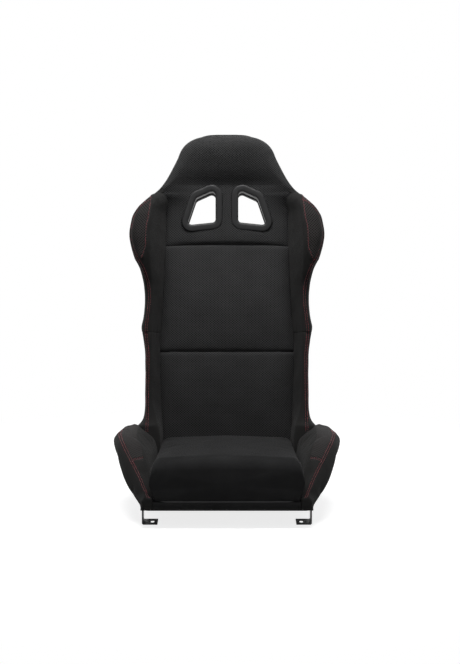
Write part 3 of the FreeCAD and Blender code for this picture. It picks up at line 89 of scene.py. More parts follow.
camera_data = bpy.data.cameras.new("camera")
camera_data.sensor_fit = "VERTICAL"
camera_data.sensor_height = SENSOR
camera_data.lens = SENSOR * FOCAL_LENGTH / PHOTO_HEIGHT
camera_data.shift_x = SEAT_LEFT_OF_CENTRE / PHOTO_HEIGHT
camera = linked("camera", camera_data)
camera.location = (0, FRONT_Y - CAMERA_AHEAD, CAMERA_HEIGHT)
camera.rotation_euler = (math.pi / 2 - CAMERA_PITCH, 0, 0)
bpy.context.scene.camera = camera
bpy.context.scene.view_settings.view_transform = "Standard"

# Curves and sections


def between(stations, level):
    """A value read off (level, value) pairs along a smooth curve that never overshoots."""
    levels = [station[0] for station in stations]
    values = [station[1] for station in stations]
    if level <= levels[0]:
        return values[0]
    if level >= levels[-1]:
        return values[-1]
    spans = [high - low for low, high in zip(levels, levels[1:])]
    rises = [(end - start) / span for start, end, span in zip(values, values[1:], spans)]
    slopes = [rises[0]]
    for before, after, span, next_span in zip(rises, rises[1:], spans, spans[1:]):
        if before * after <= 0:
            slopes.append(0)
        else:
            near, far = span + 2 * next_span, 2 * span + next_span
            slopes.append((near + far) / (near / before + far / after))
    slopes.append(rises[-1])
    index = max(i for i, low in enumerate(levels[:-1]) if low <= level)
    span = spans[index]
    run = (level - levels[index]) / span
    rest = 1 - run
    return (
        values[index] * (1 + 2 * run) * rest ** 2
        + values[index + 1] * (3 - 2 * run) * run ** 2
        + span * slopes[index] * run * rest ** 2
        - span * slopes[index + 1] * rest * run ** 2
    )


def mix(start, end, share):
    return start + (end - start) * share


def steps(low, high, count):
    return [mix(low, high, index / count) for index in range(count + 1)]


def stretch(low, high, pairs, start=0, end=1):
    """Stations between two levels: each pair is a share of the way and a share of the values."""
    return [(mix(low, high, share), mix(start, end, value)) for share, value in pairs]


def corner_sides(flat, index):
    """The unit vectors from a corner to its two neighbours, and half the angle between them."""
    to_before = (flat[index - 1] - flat[index]).normalized()
    to_after = (flat[(index + 1) % len(flat)] - flat[index]).normalized()
    return to_before, to_after, to_before.angle(to_after) / 2


ARC_POINTS = 6
# The part of a side that the arc of one corner may take.
ARC_LIMIT = 0.48


def rounded(corners, side_points):
    """Points round a closed section with corners (across, out, radius), side_points[i] of them
    along the side after corner i. Returns the points, and where in them the corners are."""
    flat = [Vector((across, out)) for across, out, _ in corners]
    arcs = []
    for index, (_, _, radius) in enumerate(corners):
        corner, following = flat[index], flat[(index + 1) % len(flat)]
        to_before, to_after, half_angle = corner_sides(flat, index)
        reach = min(
            radius / math.tan(half_angle),
            ARC_LIMIT * (flat[index - 1] - corner).length,
            ARC_LIMIT * (following - corner).length,
        )
        start, end = corner + to_before * reach, corner + to_after * reach
        arcs.append([
            start * (1 - share) ** 2 + corner * 2 * share * (1 - share) + end * share ** 2
            for share in steps(0, 1, ARC_POINTS - 1)
        ])
    points, marks = [], []
    for arc, next_arc, extra in zip(arcs, arcs[1:] + arcs[:1], side_points):
        marks.append(len(points) + ARC_POINTS // 2)
        points += arc
        points += [arc[-1].lerp(next_arc[0], share) for share in steps(0, 1, extra + 1)[1:-1]]
    return points, marks


def drape(point, *waves):
    """Soft unevenness in millimetres, from waves of (height, waves per metre, seed)."""
    return sum(
        noise.noise(Vector((point.x * scale, point.y * scale, point.z * scale + seed))) * height
        for height, scale, seed in waves
    )


# Meshes

PIECES = {}


def add_piece(name, mesh):
    PIECES[name] = linked(name, mesh)
    return PIECES[name]


def built(name, build):
    """A piece made from a bmesh, with its faces turned outwards."""
    bmesh.ops.recalc_face_normals(build, faces=build.faces)
    mesh = bpy.data.meshes.new(name)
    build.to_mesh(mesh)
    build.free()
    return add_piece(name, mesh)


def skin(name, rings, origin=0):
    """A closed smooth mesh through rings of points, with its cloth laid along them as a UV map
    in metres: u round the ring and v from ring to ring, both counted at one column of points."""
    build = bmesh.new()
    uv = build.loops.layers.uv.new("weave")
    rows = [[build.verts.new(point) for point in ring] for ring in rings]
    round_lengths = []
    for ring in rings:
        lengths = [0]
        for here, following in zip(ring, ring[1:] + ring[:1]):
            lengths.append(lengths[-1] + (following - here).length)
        round_lengths.append([length - lengths[origin] for length in lengths])
    along = [0]
    for low, high in zip(rings, rings[1:]):
        along.append(along[-1] + (high[origin] - low[origin]).length)
    count = len(rings[0])
    for row in range(len(rings) - 1):
        for column in range(count):
            after = (column + 1) % count
            corners = [(row, column), (row, after), (row + 1, after), (row + 1, column)]
            face = build.faces.new([rows[r][c] for r, c in corners])
            face.smooth = True
            ends = [column, column + 1, column + 1, column]
            for loop, (r, _), end in zip(face.loops, corners, ends):
                loop[uv].uv = (round_lengths[r][end], along[r])
    for row, ring, way in ((rows[0], rings[0], 1), (rows[-1], rings[-1], -1)):
        centre = build.verts.new(sum(ring, Vector()) / count)
        for pair in zip(row, row[1:] + row[:1]):
            face = build.faces.new((centre, *pair[::-way]))
            face.smooth = True
            for loop in face.loops:
                loop[uv].uv = (loop.vert.co.x, loop.vert.co.y)
    return built(name, build)


def mirror_piece(piece, name):
    """The opposite-hand copy of a piece, across the middle of the seat."""
    mesh = piece.data.copy()
    build = bmesh.new()
    build.from_mesh(mesh)
    for vert in build.verts:
        vert.co.x = -vert.co.x
    bmesh.ops.reverse_faces(build, faces=build.faces)
    build.to_mesh(mesh)
    build.free()
    add_piece(name, mesh)


def evaluated_mesh(piece):
    """What an object's modifiers give, as a mesh of its own."""
    graph = bpy.context.evaluated_depsgraph_get()
    graph.update()
    return bpy.data.meshes.new_from_object(piece.evaluated_get(graph))


def baked(piece, kind, **settings):
    """Put one modifier on a piece and keep its result as the piece's plain mesh."""
    modifier = piece.modifiers.new(kind.lower(), kind)
    for key, value in settings.items():
        setattr(modifier, key, value)
    mesh = evaluated_mesh(piece)
    piece.modifiers.clear()
    piece.data = mesh


def subdivided(piece):
    baked(piece, "SUBSURF", levels=1, render_levels=1)


PUFF_FRAMES = 20
PADDED_CLOTH = {
    "quality": 5, "mass": 0.3, "tension_stiffness": 20, "compression_stiffness": 20,
    "bending_stiffness": 6, "use_pressure": True, "uniform_pressure_force": 4,
    "vertex_group_mass": "held",
}


def puffed(piece, cap, pinned, swell):
    """Let the padding press a cover outwards, as cloth a little larger than its pattern; no
    point moves further than the cap, and the pinned points stay."""
    mesh = piece.data
    held = piece.vertex_groups.new(name="held")
    held.add([vert.index for vert in mesh.vertices if pinned(vert.co)], 1, "REPLACE")
    cloth = piece.modifiers.new("cloth", "CLOTH")
    for key, value in PADDED_CLOTH.items():
        setattr(cloth.settings, key, value)
    cloth.settings.shrink_min = -swell
    cloth.settings.effector_weights.gravity = 0
    cloth.point_cache.frame_end = PUFF_FRAMES
    for number in range(1, PUFF_FRAMES + 1):
        bpy.context.scene.frame_set(number)
    graph = bpy.context.evaluated_depsgraph_get()
    swollen = [vert.co.copy() for vert in piece.evaluated_get(graph).data.vertices]
    piece.modifiers.clear()
    bpy.context.scene.frame_set(1)
    for vert, place in zip(mesh.vertices, swollen):
        move = place - vert.co
        if move.length > cap:
            move *= cap / move.length
        vert.co += move
    piece.vertex_groups.clear()
    mesh.update()


# Materials


def socket_name(word):
    """A socket's name, written as a Python word."""
    return word.replace("_", " ").title().replace("Ior", "IOR")


class Nodes:
    """A node tree that is built up node by node."""

    def __init__(self, tree):
        self.nodes, self.links = tree.nodes, tree.links

    def node(self, kind, settings=None, **inputs):
        made = self.nodes.new(kind)
        for key, value in (settings or {}).items():
            setattr(made, key, value)
        for key, value in inputs.items():
            self.feed(made.inputs[socket_name(key)], value)
        return made

    def feed(self, socket, value):
        if isinstance(value, bpy.types.NodeSocket):
            self.links.new(value, socket)
        else:
            socket.default_value = value

    def fed(self, kind, settings, *values):
        """The first output of a node whose inputs are fed in their order."""
        made = self.node(kind, settings)
        for socket, value in zip(made.inputs, values):
            self.feed(socket, value)
        return made.outputs[0]

    def math(self, operation, *values):
        return self.fed("ShaderNodeMath", {"operation": operation}, *values)

    def wave(self, along, pitch):
        return self.math("SINE", self.math("MULTIPLY", along, 2 * math.pi / pitch))

    def ramp(self, value, low, high, start=0.0, end=1.0, kind="LINEAR"):
        """A value between low and high, carried over to between start and end."""
        settings = {"interpolation_type": kind}
        return self.fed("ShaderNodeMapRange", settings, value, low, high, start, end)


# The noise that a mottle reads lies mostly within these two values.
NOISE_LOW, NOISE_HIGH = 0.3, 0.7


class Shader(Nodes):
    """A node material built up from its Principled shader."""

    def __init__(self, name, colour, roughness, **sockets):
        self.material = bpy.data.materials.new(name)
        self.material.use_nodes = True
        super().__init__(self.material.node_tree)
        self.surface = self.nodes["Principled BSDF"]
        self.colour = colour
        self.set("Base_Color", (*colour, 1))
        self.set("Roughness", roughness)
        for socket, value in sockets.items():
            self.set(socket, value)

    def set(self, socket, value):
        self.feed(self.surface.inputs[socket_name(socket)], value)

    def place(self, uv_map=None):
        """Where a pattern is read: the cloth's own UV map, or the object's coordinates."""
        if uv_map:
            return self.node("ShaderNodeUVMap", {"uv_map": uv_map}).outputs["UV"]
        return self.node("ShaderNodeTexCoord").outputs["Object"]

    def axes(self, where):
        return self.node("ShaderNodeSeparateXYZ", Vector=where).outputs

    def mottle(self, where, scale, low, high, detail=3):
        """Soft noise between two values."""
        grain = self.node("ShaderNodeTexNoise", Vector=where, Scale=scale, Detail=detail)
        return self.ramp(grain.outputs[0], NOISE_LOW, NOISE_HIGH, low, high)

    def shade(self, tone, pattern=None, share=0.0):
        """Multiply the base colour by a tone, to which a share of a pattern can be added."""
        if pattern:
            tone = self.math("ADD", self.math("MULTIPLY", pattern, share), tone)
        scaled = self.node("ShaderNodeVectorMath", {"operation": "SCALE"}, Scale=tone)
        scaled.inputs[0].default_value = self.colour
        self.set("Base_Color", scaled.outputs[0])

    def bump(self, height, distance, strength):
        made = self.node("ShaderNodeBump", Height=height, Distance=distance, Strength=strength)
        self.set("Normal", made.outputs["Normal"])


CLOTH_LUSTRE = {"sheen_weight": 0.04, "sheen_roughness": 0.5, "specular_ior_level": 0.04}
# How dark a dimple is painted against the yarn, as painted shade inside it, and its inner and outer
# size in the lattice.
DIMPLE_PAINTED_SHADE, HOLE_CORE, HOLE_RIM = 0.12, 0.16, 0.46


def mesh_cloth(name, colour, pitches):
    """Knitted spacer mesh: rows of small dimples in a diamond lattice over a soft yarn."""
    cloth = Shader(name, colour, 0.82, **CLOTH_LUSTRE)
    where = cloth.place("weave")
    turned = cloth.node("ShaderNodeMapping", Vector=where, Rotation=(0, 0, math.pi / 4),
                        Scale=(1 / pitches[0], 1 / pitches[1], 1))
    cells = cloth.node("ShaderNodeTexVoronoi", {"voronoi_dimensions": "2D"},
                       Vector=turned.outputs[0], Scale=1.0, Randomness=0.0)
    yarn = cloth.node("ShaderNodeTexNoise", Vector=where, Scale=2200.0, Detail=2.0)
    raised = cloth.ramp(cells.outputs["Distance"], HOLE_CORE, HOLE_RIM, kind="SMOOTHSTEP")
    # Painted shade: the base colour darkens inside each dimple, where the bump below dips.
    painted_dimple_shade = cloth.math("ADD", cloth.math("MULTIPLY", raised, 1 - DIMPLE_PAINTED_SHADE), DIMPLE_PAINTED_SHADE)
    cloth.shade(cloth.math("MULTIPLY", painted_dimple_shade, cloth.mottle(where, 14, 0.9, 1.1)))
    height = cloth.math("ADD", raised, cloth.math("MULTIPLY", yarn.outputs[0], 0.08))
    cloth.bump(height, 0.0004, 0.5)
    return cloth.material


def plain_cloth(name, colour, pitch, uv_map=None):
    """Close plain weave: warp and weft ribs crossing at right angles."""
    cloth = Shader(name, colour, 0.9, **CLOTH_LUSTRE)
    where = cloth.place(uv_map)
    across, rise, up = cloth.axes(where)
    if not uv_map:
        rise = cloth.math("ADD", rise, up)
    weave = cloth.math("MULTIPLY", cloth.wave(across, pitch), cloth.wave(rise, pitch))
    cloth.shade(cloth.mottle(where, 18, 0.86, 1.14), weave, 0.12)
    cloth.bump(cloth.math("ADD", weave, cloth.mottle(where, 700, -0.2, 0.2)), 0.00015, 0.5)
    return cloth.material


def thread(name, colour):
    """Twisted sewing thread."""
    made = Shader(name, colour, 0.55, sheen_weight=0.2)
    where = made.place()
    across, _, up = made.axes(where)
    twist = made.wave(made.math("ADD", across, up), 0.0007)
    made.shade(made.mottle(where, 60, 0.75, 1.1), twist, 0.2)
    return made.material


def grained(name, colour, roughness, tone, gloss=None, grain=None, relief=(), **sockets):
    """A surface without a pattern. Tone, gloss and grain are noises, each given by its scale and
    its two ends; relief is how deep the grain goes and how strongly it shows."""
    made = Shader(name, colour, roughness, **sockets)
    where = made.place()
    made.shade(made.mottle(where, *tone))
    if gloss:
        made.set("Roughness", made.mottle(where, *gloss))
    if grain:
        made.bump(made.mottle(where, *grain), *relief)
    return made.material


def powder_coat(name, colour):
    """Satin powder coat with its fine orange peel, worn a little lighter in places."""
    return grained(name, colour, 0.42, (35, 0.85, 1.2), (55, 0.36, 0.5), (900, 0, 1),
                   (0.00012, 0.6), specular_ior_level=0.3)


def moulded_plastic(name, colour):
    """Fine spark-textured plastic."""
    return grained(name, colour, 0.45, (30, 0.9, 1.12), (70, 0.38, 0.5), (1600, 0, 1),
                   (0.00008, 0.6), specular_ior_level=0.22)


def blackened_steel(name, colour):
    return grained(name, colour, 0.35, (90, 0.7, 1.3), (160, 0.28, 0.45), metallic=1.0)


def board_felt(name, colour):
    """Needled felt on the rear board: short fibres without a weave."""
    return grained(name, colour, 0.95, (420, 0.75, 1.3), None, (1100, 0, 1, 5), (0.0006, 0.8),
                   sheen_weight=0.3, specular_ior_level=0.15)


def hook_tape(name, colour):
    """Hook-and-loop tape: fine stubby rows."""
    made = Shader(name, colour, 0.8, sheen_weight=0.3)
    where = made.place()
    across, along, _ = made.axes(where)
    rows, stubs = made.wave(along, 0.0022), made.wave(across, 0.0018)
    made.shade(made.mottle(where, 300, 0.8, 1.2), rows, 0.2)
    made.bump(made.math("MULTIPLY", rows, stubs), 0.0004, 0.8)
    return made.material


def webbing_cloth(name, colour):
    """Ribbed strap."""
    made = Shader(name, colour, 0.8, sheen_weight=0.15)
    where = made.place()
    ribs = made.wave(made.axes(where)[0], 0.0025)
    made.shade(made.mottle(where, 120, 0.85, 1.15), ribs, 0.15)
    made.bump(ribs, 0.0003, 0.7)
    return made.material


def open_foam(name, colour):
    made = Shader(name, colour, 0.95)
    where = made.place()
    cells = made.node("ShaderNodeTexVoronoi", Vector=where, Scale=900.0).outputs["Distance"]
    made.shade(made.mottle(where, 40, 0.65, 0.9), cells, 0.4)
    made.bump(cells, 0.0006, 0.7)
    return made.material


CENTRE_MESH = mesh_cloth("centre_mesh", (0.0335, 0.0335, 0.0338), (0.0052, 0.0045))
SIDE_CLOTH = mesh_cloth("side_cloth", (0.0290, 0.0270, 0.0265), (0.0056, 0.0050))
BOLSTER_CLOTH = plain_cloth("bolster_cloth", (0.0170, 0.0166, 0.0162), 0.0016, "weave")
CUSHION_CLOTH = plain_cloth("cushion_cloth", (0.0140, 0.0140, 0.0142), 0.0011)
LINING = plain_cloth("lining", (0.012, 0.012, 0.0125), 0.0018)
RED_THREAD = thread("red_thread", (0.30, 0.018, 0.035))
FRAME_COAT = powder_coat("frame_coat", (0.014, 0.014, 0.015))
BRACKET_COAT = powder_coat("bracket_coat", (0.016, 0.016, 0.017))
SCREW_BLACK = blackened_steel("screw_black", (0.10, 0.10, 0.105))
BLACK_PLASTIC = moulded_plastic("black_plastic", (0.010, 0.010, 0.0103))
BOARD_FELT = board_felt("board_felt", (0.017, 0.017, 0.018))
TAPE = hook_tape("tape", (0.010, 0.010, 0.011))
STRAP_CLOTH = webbing_cloth("strap_cloth", (0.030, 0.030, 0.030))
FOAM = open_foam("foam", (0.35, 0.34, 0.30))

# Forms of the backrest

LOWER_END, SEAM_LEVEL, WING_LEVEL = -78, 299, 563
NECK_LEVEL, HEAD_TOP_LEVEL = 705, 839
MID_SEAM_LEVEL, YOKE_SEAM_LEVEL = 248.5, 540
# Here the seam between yoke and wing runs out to the edge of the seat.
HEAD_MEETS_OUTLINE = 681
THIGH_TOP_LEVEL = 50
# How far the padding reaches behind the backrest's face.
BEHIND = 68.5

WAIST, WING, NECK, HEAD, HEAD_TOP = 221, 261, 171, 134, 72
OUTLINE = (
    [(LOWER_END, WAIST - 10), (0, WAIST - 4), (230, WAIST - 4),
     (SEAM_LEVEL - 22, WAIST + 1), (SEAM_LEVEL, WAIST + 3)]
    + stretch(SEAM_LEVEL, WING_LEVEL,
              [(0.36, -0.05), (0.47, 0), (0.63, 0.23), (0.78, 0.69), (1, 1)], WAIST, WING)
    + stretch(WING_LEVEL, NECK_LEVEL,
              [(0.27, 0.93), (0.5, 0.74), (0.66, 0.51), (0.83, 0.21), (1, 0)], NECK, WING)
    + stretch(NECK_LEVEL, HEAD_TOP_LEVEL, [(0.19, 0.61), (0.36, 0.3), (0.53, 0)], HEAD, NECK)
    + stretch(NECK_LEVEL, HEAD_TOP_LEVEL,
              [(0.69, 0.86), (0.84, 0.62), (0.94, 0.32), (1, 0)], HEAD_TOP, HEAD)
)
PANEL_SIDE = [
    (0, 171), (MID_SEAM_LEVEL, 180), (mix(MID_SEAM_LEVEL, YOKE_SEAM_LEVEL, 0.48), 172),
    (YOKE_SEAM_LEVEL, 167), (648, 167), (662, 170), (672, 177), (HEAD_MEETS_OUTLINE, 190),
    (690, 210),
]
# The valley between the middle panels and the wings; it rises where the wings meet the head.
VALLEY = [
    (YOKE_SEAM_LEVEL, -7), (610, -6), (640, -1), (660, 9), (672, 19), (HEAD_MEETS_OUTLINE, 26),
    (NECK_LEVEL, 28),
]
BOLSTER, WING_PROUD, NECK_PROUD = 50, 106, 21
PROUD = (
    [(LOWER_END, BOLSTER + 8), (60, BOLSTER + 7), (130, BOLSTER + 2), (200, BOLSTER)]
    + stretch(SEAM_LEVEL, WING_LEVEL,
              [(0.3, 0), (0.47, 0.1), (0.63, 0.57), (0.78, 0.88), (1, 1)], BOLSTER, WING_PROUD)
    + stretch(WING_LEVEL, NECK_LEVEL,
              [(0.27, 0.97), (0.5, 0.87), (0.66, 0.64), (0.75, 0.45), (0.83, 0.29), (0.9, 0.24)],
              0, WING_PROUD)
    + [(NECK_LEVEL, NECK_PROUD)]
)
WING_RIDGE, WAIST_RIDGE, FOOT_RIDGE = WING - 52, WAIST - 12, 180
RIDGE = (
    [(LOWER_END, FOOT_RIDGE), (10, FOOT_RIDGE), (120, WAIST_RIDGE - 6),
     (SEAM_LEVEL, WAIST_RIDGE - 3)]
    + stretch(SEAM_LEVEL, WING_LEVEL,
              [(0.47, WAIST_RIDGE - 5), (0.78, WING_RIDGE), (1, WING_RIDGE)])
    + stretch(WING_LEVEL, NECK_LEVEL,
              [(0.27, WING_RIDGE - 3), (0.5, WING_RIDGE - 8), (0.66, WING_RIDGE - 16),
               (0.83, NECK + 10), (1, NECK - 14)])
)
ROOT = [(415, 197), (520, 212), (606, 212), (728, 150), (812, 92)]
# Near the head the wing runs on under the head cover, so that no groove shows between them.
TUCK = [(630, 0), (665, 9)]
DIVE_SLOPE = 0.7
# The foot flares out over the thigh bolster, and cloth gathers above the cross seam: each by so
# much, over so much of the level.
FOOT_FLARE, FLARE_REACH = 20, 13
GATHER, GATHER_REACH, GATHER_LEVEL = 4, 16, SEAM_LEVEL + 14
BOLSTER_SIDE_POINTS = (4, 4, 3, 12, 8, 4, 14, 4)


def bolster_ring(level):
    """Section across a bolster on the right side, from its seam round to its back."""
    flare = FOOT_FLARE * math.exp(-max(level - THIGH_TOP_LEVEL, 0) / FLARE_REACH)
    gather = GATHER * math.exp(-((level - GATHER_LEVEL) / GATHER_REACH) ** 2)
    dive = max(0, level - HEAD_MEETS_OUTLINE + 1) * DIVE_SLOPE
    outer = between(OUTLINE, level) + flare + gather - min(dive, 1.5)
    inner = min(between(PANEL_SIDE, level), outer - 10)
    valley = between(VALLEY, level)
    proud = max(between(PROUD, level) + 0.8 * flare, valley + 3) - dive
    ridge = max(between(RIDGE, level), inner + 4)
    root = max(between(ROOT, level), inner + 4)
    return rounded([
        (inner - 1, -30, 3),
        (root, -BEHIND, 6),
        (min(root + 17, outer - 10), -BEHIND, 12),
        (min(root + 26, outer - 1), -BEHIND * 0.6, 22),
        (outer + 2, proud * 0.55, 26),
        (outer - 0.24 * (outer - ridge), proud + 3, 22),
        (ridge - 2, proud * 0.96, 22),
        (inner - 1 - between(TUCK, level), valley - 2 - dive, 3),
    ], BOLSTER_SIDE_POINTS)


# A second ring so close to each end keeps a sewn edge sharp when the piece is subdivided.
CLOSE_RING = 0.4
PULL_REACH, PUCKER_REACH = 5, 22
# Behind this, beside the frame, a bolster keeps its even shape.
DRAPE_ENDS = -10
# Which corner of a bolster's or thigh bolster's section is the crest, where the cloth's pattern
# is counted from.
CREST_CORNER = 5


def bolster_piece(name, low, high, count, low_draw, high_draw):
    """A bolster as a skin of rings, drawn in and puckered where it is sewn at its two ends."""
    between_ends = steps(low, high, count)[1:-1]
    rings = []
    for level in [low, low + CLOSE_RING] + between_ends + [high - CLOSE_RING, high]:
        points, marks = bolster_ring(level)
        centre = sum(points, Vector((0, 0))) / len(points)
        pull, pucker = (
            low_draw * math.exp(-(level - low) / reach)
            + high_draw * math.exp(-(high - level) / reach)
            for reach in (PULL_REACH, PUCKER_REACH)
        )
        ring = []
        for index, point in enumerate(points):
            outwards = (point - centre).normalized()
            fold = noise.noise(Vector((index * 0.55, level * 0.02, 3.1))) * pucker * 1.2
            soft = drape(on_back(point.x, level, point.y), (1.6, 22, 0.5), (0.5, 55, 4.0))
            moved = point + outwards * (fold + soft - pull)
            if point.y < DRAPE_ENDS:
                moved = point - outwards * pull
            ring.append(on_back(moved.x, level, moved.y))
        rings.append(ring)
    return skin(name, rings, marks[CREST_CORNER])


side_cover = bolster_piece(
    "side_bolster_cover_right", LOWER_END + 32, SEAM_LEVEL + 0.2, 80, 0, 0.8)
wing_cover = bolster_piece(
    "shoulder_wing_cover_right", SEAM_LEVEL - 0.2, NECK_LEVEL, 110, 0.8, 0)
subdivided(side_cover)
subdivided(wing_cover)

PANEL_BACK = -17.5
PANEL_ROWS, PANEL_COLUMNS = 64, 72
PANEL_DRAW, DRAW_REACH, SIDE_DRAW_REACH, PANEL_PUCKER_REACH = 5, 4.5, 7, 16
# The padding is fuller in the hollow of the back, so the face leans further back higher up.
BOW = [
    (-60, 0), (60, 7), (200, 15), (290, 17), (370, 15), (450, 8), (515, 1.6), (YOKE_SEAM_LEVEL, 0),
]
YOKE_ARCH = 4


def pillow(name, low, high, crown, arch=0):
    """A padded panel that rises from its seams, with a soft drape; arch lifts the upper seam in
    the middle."""
    rings = []
    for share in steps(0, 1, PANEL_ROWS):
        # Rows lie closer together at the two seams.
        share = 0.5 - 0.5 * math.cos(math.pi * share)
        flat_level = mix(low, high, share)
        half = between(PANEL_SIDE, flat_level) + 0.5
        ring = []
        for turn in steps(0, 1, PANEL_COLUMNS):
            side = -math.cos(math.pi * turn)
            x = side * half
            level = flat_level + arch * share * (1 - side ** 2)
            edge = max(min(level - low, high + arch * (1 - side ** 2) - level), 0)
            beside = (1 - abs(side)) * half
            rise = crown * (1 - side ** 4) * math.sin(math.pi * share) ** 0.8
            rise += between(BOW, level) * (1 - side ** 6)
            draw = PANEL_DRAW * math.exp(-edge / DRAW_REACH)
            draw += 0.7 * PANEL_DRAW * math.exp(-beside / SIDE_DRAW_REACH)
            soft = drape(on_back(x, level, 0), (1.2, 9, 2.0), (0.6, 24, 9.0))
            pucker = noise.noise(Vector((x * 0.07, share * 3, 1.7))) * 1.5
            soft += pucker * math.exp(-edge / PANEL_PUCKER_REACH)
            ring.append(on_back(x, level, rise - draw + soft * min(1, edge / 5)))
        ring += [on_back(half * at, flat_level, PANEL_BACK) for at in (1, 0.3, -0.3, -1)]
        rings.append(ring)
    return skin(name, rings, PANEL_COLUMNS // 2)


pillow("lumbar_cover", LOWER_END + 22, MID_SEAM_LEVEL - 0.1, 7)
pillow("upper_back_cover", MID_SEAM_LEVEL + 0.1, YOKE_SEAM_LEVEL - 4, 8, YOKE_ARCH)

# The head and the yoke under it are one cover, whose face has these heights in the middle and
# at the sides.
HEAD_MIDDLE = [
    (YOKE_SEAM_LEVEL - 4, -5), (YOKE_SEAM_LEVEL, 0), (YOKE_SEAM_LEVEL + 8, 4), (560, 4.5),
    (600, 2.2), (640, 0.3), (700, 0.2), (710, 3.5), (724, 11), (740, 18.5), (760, 25), (784, 31),
    (802, 33), (816, 31), (827, 23), (835, 10), (HEAD_TOP_LEVEL, -4),
]
HEAD_SIDE = [
    (YOKE_SEAM_LEVEL - 4, -8), (610, -7), (640, -1.5), (660, 9), (672, 20),
    (HEAD_MEETS_OUTLINE, 27), (700, 29), (720, 28), (790, 26), (810, 22), (824, 13), (834, 2),
    (HEAD_TOP_LEVEL, -8),
]
HEAD_ROUNDING = [
    (676, 0), (HEAD_MEETS_OUTLINE, 5), (690, 15), (NECK_LEVEL, 22), (730, 30), (790, 34),
    (HEAD_TOP_LEVEL, 30),
]
HEAD_REAR = [
    (YOKE_SEAM_LEVEL, 17.5), (694, 17.5), (700, BEHIND - 0.3), (812, BEHIND - 0.3),
    (828, BEHIND * 0.9), (HEAD_TOP_LEVEL, BEHIND * 0.72),
]
HEAD_SIDE_DRAW = [(600, 3.5), (640, 1.5), (664, 0)]
HEAD_ROWS, HEAD_COLUMNS = 96, 80
HEAD_DRAW_REACH, ARCH_FADE = 7, 60
# The rounded end over the top: how far each ring shrinks, and how far up it lies.
HEAD_END = ((0.96, 1.6), (0.86, 3.2), (0.6, 4.4), (0.3, 4.8))


def head_half(level):
    half = between(OUTLINE, level)
    if level < HEAD_MEETS_OUTLINE + 9:
        half = min(between(PANEL_SIDE, level), half)
    return half + 0.5


def head_ring(level, arch):
    """Section of the head cover, from its left edge over the front and round behind."""
    half, rear = head_half(level), between(HEAD_REAR, level)
    middle, side = between(HEAD_MIDDLE, level), between(HEAD_SIDE, level)
    rounding = between(HEAD_ROUNDING, level)
    points = []
    for turn in steps(0, 1, HEAD_COLUMNS):
        share = -math.cos(math.pi * turn)
        across = share * half
        out = mix(middle, side, abs(share) ** 3)
        into = abs(across) - (half - rounding)
        if into > 0:
            out -= 1.1 * (rounding - math.sqrt(max(rounding ** 2 - into ** 2, 0)))
        soft = drape(on_back(across, level, 0), (1.4, 11, 5.0), (0.5, 28, 6.0))
        draw = between(HEAD_SIDE_DRAW, level) * math.exp(-(1 - abs(share)) * half / HEAD_DRAW_REACH)
        points.append((across, level + arch * (1 - share ** 2), out + soft - draw))
    edge = points[-1][2]
    behind = [
        (half, mix(edge, -rear, 0.35)), (half, mix(edge, -rear, 0.7)),
        (half - 1.5, mix(edge, -rear, 0.92)), (half - 8, -rear),
    ]
    wrap = behind + [(half * 0.5, -rear), (-half * 0.5, -rear)]
    wrap += [(-x, out) for x, out in reversed(behind)]
    return points + [(across, level, out) for across, out in wrap]


head_rings = []
for level in steps(YOKE_SEAM_LEVEL - 4, HEAD_TOP_LEVEL, HEAD_ROWS):
    arch = YOKE_ARCH * max(0, 1 - (level - YOKE_SEAM_LEVEL) / ARCH_FADE)
    head_rings.append([on_back(*point) for point in head_ring(level, arch)])
top_ring = head_ring(HEAD_TOP_LEVEL, 0)
middle_out = sum(out for _, _, out in top_ring) / len(top_ring)
for shrink, rise in HEAD_END:
    head_rings.append([
        on_back(across * shrink, level + rise, mix(middle_out, out, shrink))
        for across, level, out in top_ring
    ])
head_cover = skin("head_cover", head_rings, HEAD_COLUMNS // 2)

# Harness openings

# The right-hand opening's corners: across, level and radius.
HOLE = [(31, 601, 9), (108.5, 593, 9), (83.5, 667, 14.4), (31, 691, 10.8)]
CORNER_STEPS, POINT_SPACING = 10, 6
COVER_CLEARANCE = 3.2
BEZEL_GAP, BOARD_THICKNESS = 0.4, 2.5
SLEEVE_LENGTH, SLEEVE_WALL = 33, 2.6


def opening_outline(grow):
    """Points round the opening, moved outwards by an even distance."""
    flat = [Vector(corner[:2]) for corner in HOLE]
    points = []
    for index, (_, _, radius) in enumerate(HOLE):
        to_before, to_after, half_angle = corner_sides(flat, index)
        centre = flat[index] + (to_before + to_after).normalized() * radius / math.sin(half_angle)
        first, last = (
            flat[index] + side * radius / math.tan(half_angle) - centre
            for side in (to_before, to_after)
        )
        first_angle = math.atan2(first.y, first.x)
        turn = math.atan2(last.y, last.x) - first_angle
        turn = (turn + math.pi) % (2 * math.pi) - math.pi
        for step in steps(0, 1, CORNER_STEPS):
            angle = first_angle + turn * step
            points.append(centre + Vector((math.cos(angle), math.sin(angle))) * (radius + grow))
    spread = []
    for here, following in zip(points, points[1:] + points[:1]):
        parts = max(1, round((following - here).length / POINT_SPACING))
        spread += [here.lerp(following, k / parts) for k in range(parts)]
    return spread


